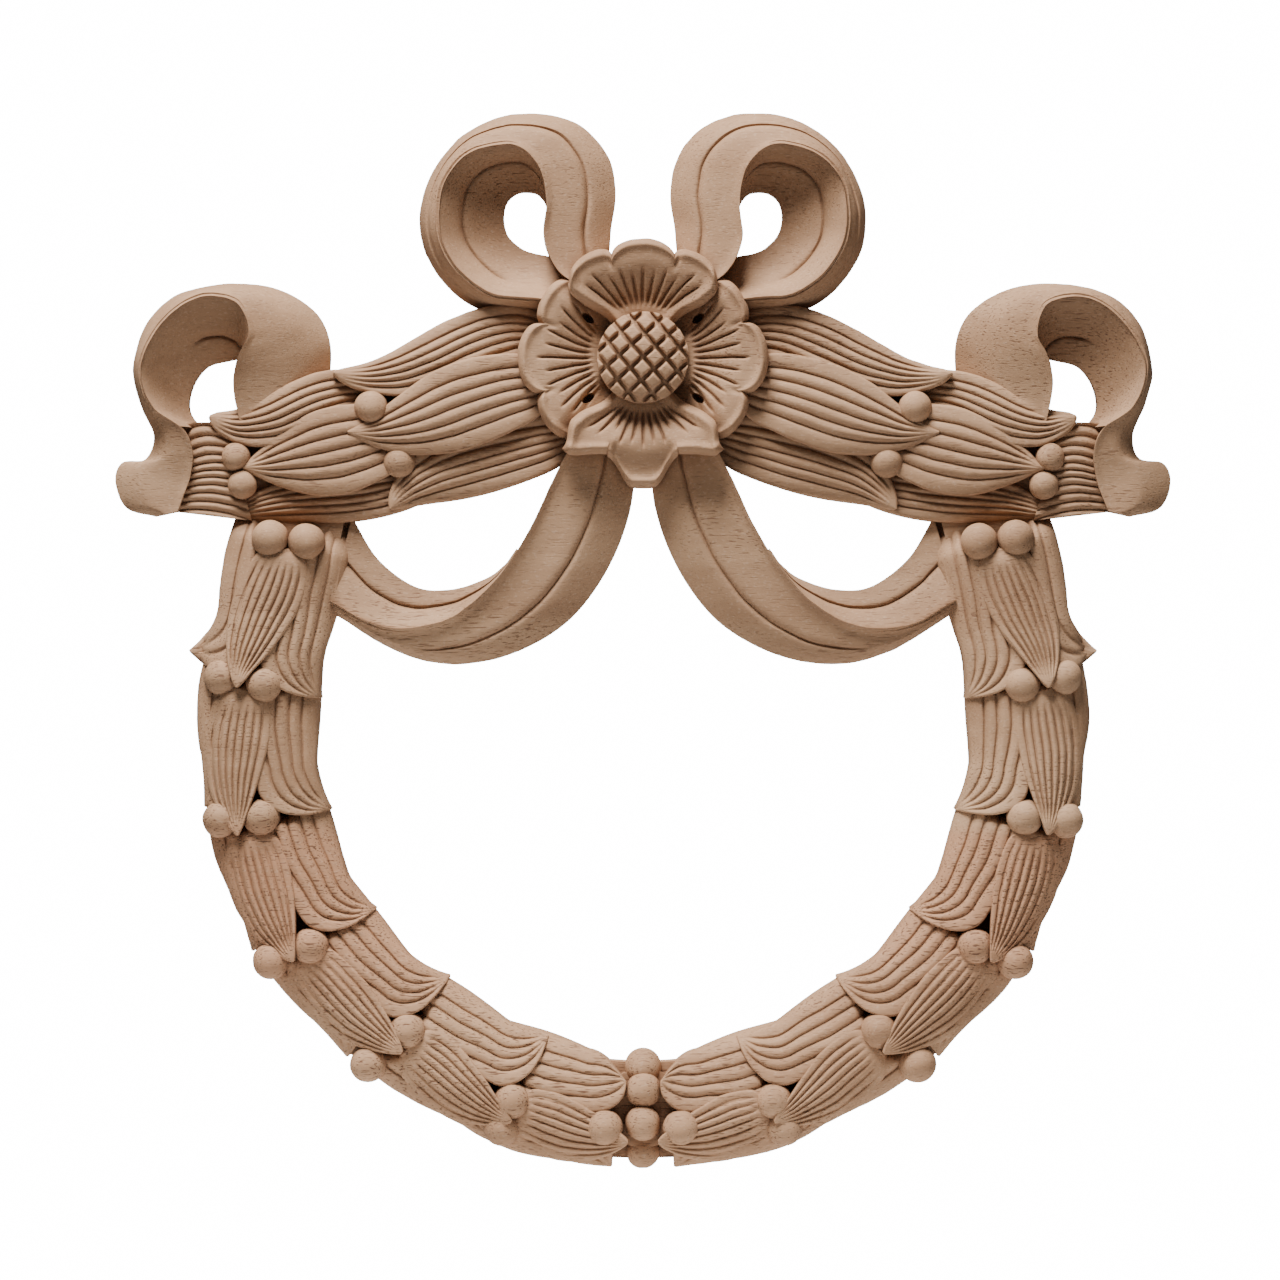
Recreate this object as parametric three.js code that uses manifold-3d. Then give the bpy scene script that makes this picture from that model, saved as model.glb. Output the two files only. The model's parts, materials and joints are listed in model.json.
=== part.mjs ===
// A carved wooden onlay: a flower with a ribbon bow over a garland of leaves and berries.
// It is one flat-backed piece of wood. Millimetres, +Z up, the carved face towards -Y, and the
// origin on the flat back, behind the middle of the flower.

import * as THREE from 'three';
import { mergeVertices } from 'three/addons/utils/BufferGeometryUtils.js';
import Module from 'manifold-3d';

// Driving dimensions
const WIDTH = 300;
const EDGE = 6;
const BED_RISE = 8;
const GARLAND_RISE = 17;
const SWAG_RISE = 18;
const RIBBON_RISE = 15;
const LOOP_RISE = 19;
const PETAL_RISE = 20;
const PETAL_LIFT = 1.8;
const SEED_HEAD_RISE = 26;
const FLUTE_DEPTH = 1.5;
const GROOVE_WIDTH = 1.5;
const TIP_WIDTH = 0.5;

// How far a ribbon's inner face runs in under its outer face, so that the two don't share a wall
const TUCK = 1;

// Each piece of carving starts this far behind the back, which is then sawn flat in one cut
const SAWN_OFF = 2;

// The finish: how far the surface may move where small cuts are smoothed, over what length, and
// how often the whole surface is gone over
const FINISH = 0.3;
const FINISH_REACH = 6;
const FINISH_PASSES = 3;

// A face may not turn further than this in the finish: the least cosine between its old and new
// facing. Nor may it shrink to a sliver, in square millimetres.
const SHARPEST_TURN = 0.3;
const SLIVER_AREA = 1e-3;

// Corners closer together than this are one corner
const SAME_PLACE = 1e-4;

// The carving is laid out from the middle of the flower in hundredths of the onlay's width
const unit = WIDTH / 100;

const wasm = await Module();
wasm.setup();

const { lerp, clamp, smoothstep } = THREE.MathUtils;

// Closed bodies

function signedVolume(geometry) {
  const { position } = geometry.attributes;
  const corner = [new THREE.Vector3(), new THREE.Vector3(), new THREE.Vector3()];
  let volume = 0;
  for (let i = 0; i < geometry.index.count; i += 3) {
    corner.forEach((point, k) => point.fromBufferAttribute(position, geometry.index.getX(i + k)));
    volume += corner[0].dot(corner[1].cross(corner[2])) / 6;
  }
  return volume;
}

function solid(geometry) {
  geometry.deleteAttribute('normal');
  geometry.deleteAttribute('uv');
  const merged = mergeVertices(geometry, SAME_PLACE);
  const triVerts = new Uint32Array(merged.index.array);
  if (signedVolume(merged) < 0) {
    triVerts.reverse();
  }
  const vertProperties = new Float32Array(merged.attributes.position.array);
  return new wasm.Manifold(new wasm.Mesh({ numProp: 3, vertProperties, triVerts }));
}

function joined(solids) {
  return solids.reduce((whole, next) => whole.add(next));
}

// A slab with its back on the wall and a carved face, (u, v) from 0 to 1 => [x, z, rise];
// x and z are shares of the width, and the rise is in millimetres
function slab(face, lengthSteps, widthSteps) {
  const geometry = new THREE.BoxGeometry(1, 1, 1, lengthSteps, widthSteps, 1);
  const { position } = geometry.attributes;
  for (let i = 0; i < position.count; i += 1) {
    const isFront = position.getZ(i) > 0;
    const [x, z, rise] = face(position.getX(i) + 0.5, position.getY(i) + 0.5);
    position.setXYZ(i, x * unit, isFront ? -rise : SAWN_OFF, z * unit);
  }
  return geometry;
}

function curveThrough(points) {
  const places = points.map(([x, z]) => new THREE.Vector3(x, 0, z));
  return new THREE.CatmullRomCurve3(places, false, 'catmullrom', 0.5);
}

// From 0 up to 1 like the shoulder of a dome
function roundedStart(share, reach) {
  const off = 1 - Math.min(share / reach, 1);
  return Math.sqrt(1 - off * off);
}

// Leaves

// Reeds side by side, with a sharp groove between each two
function reeds(v, count) {
  return FLUTE_DEPTH * (1 - Math.abs(Math.sin(Math.PI * count * v)));
}

// The width of a leaf along it: the higher the point, the slimmer its tip
function leafWidth(u, baseShare, fullest, point) {
  if (u < fullest) {
    return lerp(baseShare, 1, Math.sin((Math.PI / 2) * (u / fullest)));
  }
  return Math.cos((Math.PI / 2) * ((u - fullest) / (1 - fullest))) ** point;
}

// A leaf along a curve from its base to its tip, each depth below the swag's highest rise
function leaf({ spine, halfWidth, point, baseDepth, tipDepth, arch, leftDrop, rightDrop, reedCount }) {
  const [base, first, second, tip] = spine.map(([x, z]) => new THREE.Vector3(x, 0, z));
  const curve = new THREE.CubicBezierCurve3(base, first, second, tip);
  const face = (u, v) => {
    const middle = curve.getPoint(u);
    const along = curve.getTangent(u);
    const side = 2 * v - 1;
    const width = halfWidth * leafWidth(u, 0.7, 0.4, point) * lerp(0.5, 1, roundedStart(u, 0.14));
    const reach = side * (width + TIP_WIDTH / unit);
    const drop = (side < 0 ? leftDrop : rightDrop) * side * side * Math.sin(Math.PI * (1 - u) ** 0.6);
    const ridge = SWAG_RISE - lerp(baseDepth, tipDepth, u) + arch * Math.sin(Math.PI * u);
    const rise = Math.max(ridge - drop - reeds(v, reedCount), EDGE);
    return [middle.x + along.z * reach, middle.z - along.x * reach, rise];
  };
  return slab(face, 7, 2 * reedCount);
}

// The garland

const garlandLine = curveThrough([
  [-32.7, -14.1], [-34.8, -23.8], [-36.4, -32.3], [-36.1, -39.9], [-33.6, -49.4],
  [-27.3, -58.9], [-16.6, -66.7], [-7.3, -70.4], [1.6, -71.3],
]);
const garlandLength = garlandLine.getLength();
const GARLAND_HALF_WIDTH = 5.35;
const CENTRE_LEAF_HALF_WIDTH = 3;
const SHOULDER_DROP = 3;

// A side leaf turns outwards over its last stretch: from what share of its length, and how long
const SIDE_TURN = 0.6;
const SIDE_BEND = 3.4;

// A side leaf's end is rounded, and fuller where its tip stands out further than this as a hook
const END_FULLNESS = 0.4;
const HOOK_FULLNESS = 1.7;
const HOOK_START = 6.3;

// The garland's top dips in under the swag
const TOP_DIP = 7;

// A place on the garland: along it from its top, and across it, outwards positive
function onGarland(along, across) {
  const share = clamp(along / garlandLength, 0, 1);
  const place = garlandLine.getPointAt(share);
  const heading = garlandLine.getTangentAt(share);
  return [place.x + heading.z * across, place.z - heading.x * across];
}

function garlandRise(across) {
  const share = clamp(Math.abs(across) / (GARLAND_HALF_WIDTH + 0.6), 0, 1);
  return lerp(EDGE + 1, GARLAND_RISE, Math.sqrt(1 - share * share));
}

function garlandCentreLeaf([start, startAcross], [tipAlong, tipAcross]) {
  const face = (u, v) => {
    const side = 2 * v - 1;
    const across = lerp(startAcross, tipAcross, smoothstep(u, 0, 1));
    const shoulder = roundedStart(u, 0.16);
    const width = CENTRE_LEAF_HALF_WIDTH * leafWidth(u, 0.72, 0.35, 0.85) * lerp(0.45, 1, shoulder);
    const reach = width + TIP_WIDTH / unit;
    const [x, z] = onGarland(lerp(start, tipAlong, u), across + side * reach);
    const rise = garlandRise(across + side * reach) + lerp(-0.3, 2.5, u) - reeds(v, 3);
    return [x, z, rise - SHOULDER_DROP * (1 - shoulder)];
  };
  return slab(face, 7, 6);
}

function garlandSideLeaf(start, [tipAlong, tipAcross]) {
  const outwards = Math.sign(tipAcross);
  const tip = Math.abs(tipAcross);
  const hidden = outwards > 0 ? 0.3 : -1.2;
  const tipEdge = TIP_WIDTH / unit;
  const fullness = END_FULLNESS + HOOK_FULLNESS * Math.max(tip - HOOK_START, 0);
  const face = (u, v) => {
    const turn = (Math.PI / 2) * clamp((u - SIDE_TURN) / (1 - SIDE_TURN), 0, 1);
    const outerAlong = lerp(start, tipAlong, u);
    const edgeAcross = GARLAND_HALF_WIDTH + 0.5 * Math.sin(Math.PI * clamp(u / 0.7, 0, 1));
    const outerAcross = lerp(edgeAcross, tip, clamp((u - 0.7) / 0.3, 0, 1) ** 2.2);
    const bend = (SIDE_BEND + tipEdge) * Math.sin(turn) + fullness * Math.sin(2 * turn);
    const innerAlong = lerp(start, tipAlong - SIDE_BEND, clamp(u / SIDE_TURN, 0, 1)) + bend;
    const innerAcross = lerp(hidden, tip - tipEdge, 1 - Math.cos(turn));
    const along = lerp(innerAlong, outerAlong, v);
    const across = lerp(innerAcross, outerAcross, v);
    const [x, z] = onGarland(along, outwards * across);
    const dip = TOP_DIP * (1 - smoothstep(along, 0.5, 4));
    return [x, z, garlandRise(across) + lerp(-1.5, 0.5, u) - dip - reeds(v, 3)];
  };
  return slab(face, 7, 6);
}

// A berry: a round head on a straight stem of wood
function berry([x, z], radius, rise) {
  const headRise = rise - radius * unit;
  const profile = [new THREE.Vector2(0, -SAWN_OFF), new THREE.Vector2(radius * unit, -SAWN_OFF)];
  const rings = 2;
  for (let i = 0; i < rings; i += 1) {
    const turn = (Math.PI / 2) * (i / rings);
    profile.push(new THREE.Vector2(radius * unit * Math.cos(turn), headRise + radius * unit * Math.sin(turn)));
  }
  profile.push(new THREE.Vector2(0, rise));
  const geometry = new THREE.LatheGeometry(profile, 9);
  return geometry.scale(1, -1, 1).translate(x * unit, 0, z * unit);
}

// A round post that runs out from the back
function post([x, z], radius, sides, rise = 2 * SEED_HEAD_RISE) {
  const geometry = new THREE.CylinderGeometry(radius * unit, radius * unit, rise + SAWN_OFF, sides);
  return geometry.translate(x * unit, (SAWN_OFF - rise) / 2, z * unit);
}

// Each group of the garland, each place as [along, across]: the tips of its middle leaf, its outer
// leaf and the leaf towards the opening, and its two berries
const garlandGroups = [
  { centre: [17.6, 2], outer: [15.2, 7.3], inner: [17.6, -5.9], berries: [[17, -0.4], [16.9, 3.6]] },
  { centre: [30.7, 3], outer: [27.6, 5.7], inner: [30.2, -6], berries: [[29.6, 0.5], [29.1, 4.4]] },
  { centre: [42.7, 3.1], outer: [40, 6.2], inner: [43, -6], berries: [[42.4, 1], [41.6, 5]] },
  { centre: [55.1, 2.2], outer: [51.3, 5.9], inner: [54.6, -6.1], berries: [[54.3, 0.3], [53.2, 5.1]] },
  { centre: [66.6, 3], outer: [65.2, 5.2], inner: [67.1, -5.8], berries: [[66, 1.2], [66, 4]] },
  { centre: [76.9, 2.8], outer: [75.4, 5.4], inner: [76.3, -3], berries: [] },
];
const FIRST_START = [4, 0.4];
const BERRY_RADIUS = 1.75;

function garland() {
  const bed = slab((u, v) => {
    const across = lerp(-GARLAND_HALF_WIDTH, GARLAND_HALF_WIDTH, v) * 0.85;
    return [...onGarland(garlandLength * u, across), BED_RISE];
  }, 18, 1);
  const pieces = [bed];
  garlandGroups.forEach(({ centre, inner, outer }, i) => {
    const before = i > 0 ? garlandGroups[i - 1].centre : FIRST_START;
    const sideStart = i > 0 ? before[0] - 4 : 0;
    pieces.push(garlandSideLeaf(sideStart, inner));
    pieces.push(garlandSideLeaf(sideStart, outer));
    pieces.push(garlandCentreLeaf([before[0] - 0.2, before[1] * 0.7], centre));
  });
  for (const { berries } of garlandGroups) {
    berries.forEach(([along, across], i) => {
      pieces.push(berry(onGarland(along, across), BERRY_RADIUS, GARLAND_RISE + 2.5 - 2 * i));
    });
  }
  return pieces;
}

// The two swags of leaves beside the flower

const swagLeaves = [
  { spine: [[-20, -11.2], [-26.5, -13.9], [-33.5, -12.4], [-38.8, -14.8]], halfWidth: 2.3,
    point: 0.65, baseDepth: 7, tipDepth: 8, arch: 1, leftDrop: 3, rightDrop: 1 },
  { spine: [[-25.6, -3.4], [-31.5, -2.2], [-35.1, -8.6], [-41, -5.5]], halfWidth: 2.5,
    point: 0.55, baseDepth: 7, tipDepth: 6, arch: 3, leftDrop: 1, rightDrop: 3 },
  { spine: [[-22.4, -6.8], [-28.7, -8.9], [-32.5, -9.4], [-37.9, -10.4]], halfWidth: 4,
    point: 0.95, baseDepth: 5.5, tipDepth: 5, arch: 3, leftDrop: 2, rightDrop: 2 },
  { spine: [[-6.8, -7.2], [-15, -9.7], [-20.6, -9.9], [-23.9, -14.2]], halfWidth: 3.1,
    point: 0.75, baseDepth: 5, tipDepth: 5, arch: 1, leftDrop: 3, rightDrop: 1 },
  { spine: [[-9, 2.2], [-16, 4.3], [-20.6, -3.6], [-29.2, -1.4]], halfWidth: 2.8,
    point: 0.7, baseDepth: 5, tipDepth: 3, arch: 2, leftDrop: 1, rightDrop: 3 },
  { spine: [[-9, -2.5], [-16.4, -3.1], [-21.1, -7.3], [-27.9, -7]], halfWidth: 3.9,
    point: 0.95, baseDepth: 3, tipDepth: 3, arch: 3, leftDrop: 2, rightDrop: 2 },
];

const swagBerries = [
  { place: [-38.5, -9.3], radius: 1.4, depth: 3 },
  { place: [-37.9, -11.9], radius: 1.4, depth: 3 },
  { place: [-25.7, -4.6], radius: 1.6, depth: 0 },
  { place: [-23, -9.7], radius: 1.6, depth: 1.5 },
  { place: [-35.2, -17], radius: 1.75, depth: -1 },
  { place: [-31.8, -17.3], radius: 1.75, depth: -1 },
];

function swag() {
  const upperEdge = curveThrough([[-9, 3], [-20, 2], [-29, -3], [-41, -8]]);
  const lowerEdge = curveThrough([[-9, -9.5], [-20, -12], [-29, -14.5], [-41, -14]]);
  const bed = slab((u, v) => {
    const place = lowerEdge.getPoint(u).lerp(upperEdge.getPoint(u), v);
    return [place.x, place.z, BED_RISE];
  }, 8, 1);
  const leaves = swagLeaves.map((shape) => leaf({ ...shape, reedCount: 4 }));
  const berries = swagBerries.map(({ place, radius, depth }) => berry(place, radius, SWAG_RISE - depth));
  return [bed, ...leaves, ...berries];
}

// Ribbons

// A ribbon face between two edges: its rise runs from one edge to the other over a swell,
// with one carved line along it at a share of its width. Its first edge may run in under the
// face beside it.
function ribbonFace({ edgeA, edgeB, riseA, riseB, swell, line = -1, tuck = 0, steps, columns }) {
  const face = (u, v) => {
    const a = edgeA(u);
    const b = edgeB(u);
    const width = a.distanceTo(b) * unit;
    const place = a.clone().lerp(b, v === 0 ? -tuck / width : v);
    const offLine = Math.abs(v - line) * width;
    const groove = offLine < GROOVE_WIDTH ? 1 - offLine / GROOVE_WIDTH : 0;
    const rise = lerp(riseA(u), riseB(u), v) + swell * Math.sin(Math.PI * v) - groove;
    return [place.x, place.z, rise];
  };
  return slab(face, steps, columns);
}

// A stretch of a curve between two of its points
function stretch(points, from = 0, to = points.length - 1) {
  const curve = curveThrough(points);
  const last = points.length - 1;
  return (u) => curve.getPoint(lerp(from, to, u) / last);
}

// The upper loop: its outer edge, the crest where the ribbon turns over, and the edge of its hole
const loopOuter = [
  [-5, 7.4], [-3.4, 9.6], [-3, 12.6], [-2.6, 16], [-3.5, 19.6], [-6.2, 22.3], [-10.2, 23.3], [-14.6, 22.6],
  [-18.4, 20], [-20.8, 15.6], [-20.9, 11], [-18.6, 7], [-15.2, 4.7], [-10.7, 4.1], [-8, 3.4],
];
const loopCrest = [
  [-6, 6.6], [-8.1, 8.4], [-9.4, 11.3], [-9.1, 14.6], [-9.7, 17.7], [-11.3, 19.7], [-13.5, 20.1], [-16.6, 19.1],
  [-18.6, 16.8], [-19.2, 13.6], [-18.8, 10.7], [-17, 8], [-14, 6], [-9.8, 5.6], [-7, 5],
];
const loopHole = [
  [-9.2, 14.6], [-9.5, 15.2], [-10.2, 15.8], [-11.5, 15.9], [-12.4, 15.5], [-13, 14.7], [-13.2, 13.4],
  [-12.9, 12], [-12.1, 11], [-10.9, 10.2], [-8.6, 9.7], [-6.4, 9],
];
const loopTurn = 3;

// The side curl, from the top of the garland over to the ribbon's flared end
const curlOuter = [
  [-29.8, -2.4], [-29.7, 1.3], [-30.6, 3.9], [-32.4, 5.6], [-35, 6.8], [-38.2, 7.2], [-41.5, 6.9],
  [-44.7, 5.8], [-47.2, 3.1], [-48.3, -0.9], [-47.6, -4.2], [-46.4, -7.3], [-47.1, -9.4],
  [-49.3, -9.8], [-50, -11.6], [-49, -14.1], [-46.3, -14.9],
];
const curlCrest = [
  [-38, -6.4], [-38.7, -2.5], [-38.1, 0.3], [-37.2, 2], [-37.5, 4], [-38.7, 5.4], [-41.5, 5.8],
  [-44.2, 4.4], [-46.4, 1.8], [-47.4, -1.2], [-46.3, -4.5], [-43.5, -6.6], [-42.6, -8.8],
  [-42.7, -10.5], [-43, -11.8], [-43.5, -13.1], [-44, -14.4],
];
const curlHole = [
  [-38.3, 0.1], [-39.3, -0.1], [-41.2, -0.6], [-42.4, -1.9], [-43, -3.5],
  [-43, -4.9], [-42.3, -6], [-41.2, -6.7],
];
const CURL_DIP = 5;
const curlTurn = 1.95;
const curlEnd = 10.9;

// The ribbon's end from the flower down to the garland, and the inner face that shows above it
const tailOuter = [
  [-1.2, -8.6], [-0.9, -12.4], [-2, -16.9], [-4.2, -21.3], [-7.2, -24.9], [-11.2, -27.4], [-15.4, -28.7],
  [-19.6, -28.8], [-23.8, -27.5], [-29.2, -24.2],
];
const tailCrest = [
  [-6.2, -7.2], [-8.6, -11.7], [-10.2, -15.2], [-11.8, -18], [-13.8, -20.8], [-16.1, -23.1], [-18.9, -24.8],
  [-22.6, -25.5], [-25.8, -24.9], [-29.6, -22.8],
];
const tailUpper = [
  [-12, -17.9], [-13.2, -19.5], [-15.2, -20.9], [-18.4, -21.8], [-21.7, -21.5], [-25.2, -18.9],
  [-27.6, -15],
];
const tailTurn = 3.05;

function ribbons() {
  const level = (rise) => () => rise;
  const lastLoop = loopCrest.length - 1;
  const curlCrestRise = (u) => lerp(LOOP_RISE - 2, 11, smoothstep(u, 0.5, 0.9));
  const innerCurlRise = (u) => curlCrestRise(lerp(curlTurn, curlEnd, u) / (curlCrest.length - 1));
  const tailCrestRise = (u) => lerp(RIBBON_RISE, 12, u);
  const innerTailRise = (u) => tailCrestRise(lerp(tailTurn / (tailCrest.length - 1), 1, u));
  return [
    ribbonFace({ edgeA: stretch(loopOuter), edgeB: stretch(loopCrest),
      riseA: (u) => lerp(12, EDGE + 2, smoothstep(u, 0, 0.4)), riseB: level(LOOP_RISE - 1),
      swell: 2.5, line: 0.4, steps: 2 * lastLoop, columns: 5 }),
    ribbonFace({ edgeA: stretch(loopCrest, loopTurn), edgeB: stretch(loopHole),
      riseA: level(LOOP_RISE - 1), riseB: level(EDGE),
      swell: -2, tuck: TUCK, steps: 2 * (lastLoop - loopTurn) + 1, columns: 3 }),
    ribbonFace({ edgeA: stretch(curlOuter), edgeB: stretch(curlCrest),
      riseA: level(EDGE + 2), riseB: (u) => curlCrestRise(u) - CURL_DIP * (1 - smoothstep(u, 0, 0.14)),
      swell: 2.5, steps: 2 * (curlCrest.length - 1), columns: 4 }),
    ribbonFace({ edgeA: stretch(curlCrest, curlTurn, curlEnd), edgeB: stretch(curlHole),
      riseA: innerCurlRise, riseB: level(EDGE),
      swell: -1.5, tuck: TUCK, steps: 2 * curlHole.length + 1, columns: 3 }),
    ribbonFace({ edgeA: stretch(tailOuter), edgeB: stretch(tailCrest),
      riseA: (u) => lerp(9, EDGE, u), riseB: tailCrestRise,
      swell: 2, line: 0.4, steps: 2 * (tailCrest.length - 1), columns: 5 }),
    ribbonFace({ edgeA: stretch(tailCrest, tailTurn), edgeB: stretch(tailUpper),
      riseA: innerTailRise, riseB: level(EDGE + 1),
      swell: 0.5, tuck: TUCK, steps: 2 * (tailUpper.length - 1) + 1, columns: 2 }),
  ];
}

// The gathered cuff that the swag's leaves come out of
function cuff() {
  const outer = curveThrough([[-43.9, -6.1], [-43.6, -9.6], [-44, -11.9], [-44.6, -14.4]]);
  const inner = curveThrough([[-39.5, -6], [-38.7, -9.1], [-37.9, -11.9], [-37, -15.3]]);
  return slab((u, v) => {
    const place = outer.getPoint(u).lerp(inner.getPoint(u), v);
    return [place.x, place.z, lerp(8, 10, v) + Math.sin(Math.PI * u) - reeds(u, 6)];
  }, 12, 1);
}

// The flower

const LOBE_NOTCH = 9.9;
const LOBE_TURN = 33;
const LOBE_SPREAD = 14.5;
const PETAL_SPREAD = 49;
const LOWER_EDGE = 9.2;
const LOWER_CORNER = 11.5;
const LOWER_LOBE = 12.2;
const LOWER_LOBE_TURN = 21;

// How much a lifted petal narrows, as a share: at its foot beside the eyes, and at its corners
const FOOT_NARROWING = 0.14;
const CORNER_NARROWING = 0.15;

// How far a petal reaches at an angle off its heading: a middle lobe and two side lobes
function lobed(angle, middleReach, sideReach) {
  const lobes = [
    { middle: LOBE_TURN, spread: LOBE_SPREAD, top: sideReach },
    { middle: 0, spread: LOBE_TURN - LOBE_SPREAD + 0.5, top: middleReach },
    { middle: -LOBE_TURN, spread: LOBE_SPREAD, top: sideReach },
  ];
  return Math.max(...lobes.map(({ middle, spread, top }) => {
    const off = Math.min(Math.abs((angle - middle) / spread), 1);
    return lerp(LOBE_NOTCH, top, (1 - off ** 2.3) ** (1 / 2.3));
  }));
}

// The lower petal ends in a straight edge between its two corners, with a longer lobe in its middle
function straight(angle) {
  const off = Math.abs(angle);
  const edge = LOWER_EDGE / Math.cos(THREE.MathUtils.degToRad(angle * (1 - CORNER_NARROWING)));
  const lobe = lerp(LOWER_LOBE, LOBE_NOTCH, smoothstep(off, 5, LOWER_LOBE_TURN));
  return off < LOWER_LOBE_TURN ? lobe : Math.min(edge, LOWER_CORNER);
}

function narrowed(radius) {
  const foot = FOOT_NARROWING * (1 - smoothstep(radius, 4.8, 8));
  return 1 - foot - CORNER_NARROWING * smoothstep(radius, 8.8, 11.2);
}

// A petal is a fan about its own heading. One that is lifted lies over the two beside it, and the
// others dip in under it. A long middle lobe falls away towards its end.
function petal({ heading, lift, reachAt, lobeDrop = 0 }) {
  const face = (u, v) => {
    const angle = lerp(-PETAL_SPREAD, PETAL_SPREAD, u);
    const radius = lerp(3, reachAt(angle), v);
    const turn = THREE.MathUtils.degToRad(heading + angle * (lift > 0 ? narrowed(radius) : 1));
    const dish = lerp(PETAL_RISE - 5, PETAL_RISE, smoothstep(radius, 4.3, 9.6));
    const rolledEdge = v === 1 ? 3 : 0;
    const sideDrop = 2.3 * smoothstep(Math.abs(angle), PETAL_SPREAD - 9, PETAL_SPREAD);
    const middleDrop = Math.abs(angle) < LOWER_LOBE_TURN ? lobeDrop * smoothstep(radius, 7.5, 11) : 0;
    const rise = dish + lift - rolledEdge - sideDrop - middleDrop;
    return [radius * Math.cos(turn), radius * Math.sin(turn), rise];
  };
  return slab(face, 18, 5);
}

// The seed head: a round dome cut into diamonds by two sets of grooves
const SEED_HEAD_RADIUS = 4.3;
const SEED_HEAD_DOME = 7;
const DIAMOND_ROWS = 6;
const DIAMOND_PITCH = 1.57;
const DIAMOND_TURN = 41;
const DIAMOND_DEPTH = 1.2;

function seedHead() {
  const turn = THREE.MathUtils.degToRad(DIAMOND_TURN);
  const half = (DIAMOND_ROWS / 2) * DIAMOND_PITCH;
  const face = (u, v) => {
    const [a, b] = [lerp(-half, half, u), lerp(-half, half, v)];
    const share = Math.min(Math.hypot(a, b) / SEED_HEAD_RADIUS, 1);
    const dome = SEED_HEAD_DOME * (Math.sqrt(1.25 - share * share) / Math.sqrt(1.25) - 1);
    const isPeak = [u, v].every((place) => Math.round(2 * DIAMOND_ROWS * place) % 2 === 1);
    const x = a * Math.cos(turn) - b * Math.sin(turn);
    const z = a * Math.sin(turn) + b * Math.cos(turn);
    return [x, z, SEED_HEAD_RISE + dome - (isPeak ? 0 : DIAMOND_DEPTH)];
  };
  const dome = solid(slab(face, 2 * DIAMOND_ROWS, 2 * DIAMOND_ROWS));
  return dome.intersect(solid(post([0, 0], SEED_HEAD_RADIUS, 16)));
}

// The drilled eyes where two petals meet
const EYE_PLACE = 6.4;
const EYE_RISE = 16;
const EYE_DEPTH = 6;

function eye(heading) {
  const turn = THREE.MathUtils.degToRad(heading);
  const geometry = new THREE.SphereGeometry(1, 8, 5);
  geometry.scale(2.6, EYE_DEPTH, 1.6).rotateY(-turn);
  return geometry.translate(EYE_PLACE * unit * Math.cos(turn), -EYE_RISE, EYE_PLACE * unit * Math.sin(turn));
}

function flower() {
  const sideReach = (angle) => lobed(angle, 11.8, 11.1);
  const upperReach = (angle) => lobed(angle, 11.2, 11.1);
  const petals = [
    petal({ heading: 0, lift: 0, reachAt: sideReach }),
    petal({ heading: 180, lift: 0, reachAt: sideReach }),
    petal({ heading: 90, lift: PETAL_LIFT, reachAt: upperReach }),
    petal({ heading: -90, lift: PETAL_LIFT, reachAt: straight, lobeDrop: 4 }),
    post([0, 0], 9.4, 24, 9),
  ];
  const eyes = [36, 144, 216, 324].map(eye);
  return joined(petals.map(solid)).subtract(joined(eyes.map(solid))).add(seedHead());
}

// One half of the garland, swag and ribbons: side 1 as laid out above, side -1 its mirror image
function half(side) {
  const pieces = [...garland(), ...swag(), ...ribbons(), cuff()];
  return joined(pieces.map((piece) => solid(piece.scale(side, 1, 1))));
}

// The foot of the garland: berries on a round bed where the two halves meet
const foot = [
  berry([0, -67.1], 1.75, 15),
  berry([0, -69.1], 1.7, 18),
  berry([0, -72.2], 1.7, 19),
  berry([0, -75.1], 1.6, 13),
  berry([-3.6, -72.6], 1.7, 20.5),
  berry([3.6, -72.6], 1.7, 20.5),
  post([0, -70.8], 3.8, 16, 12),
];

const carving = joined([half(1), half(-1), flower(), ...foot.map(solid)]);

// The wood in front of the wall: one block that the back of all the carving is sawn to
const block = new THREE.BoxGeometry(2 * WIDTH, SEED_HEAD_RISE * 2, 2 * WIDTH);
block.translate(0, -SEED_HEAD_RISE, 0);
const whole = carving.intersect(solid(block));

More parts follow.
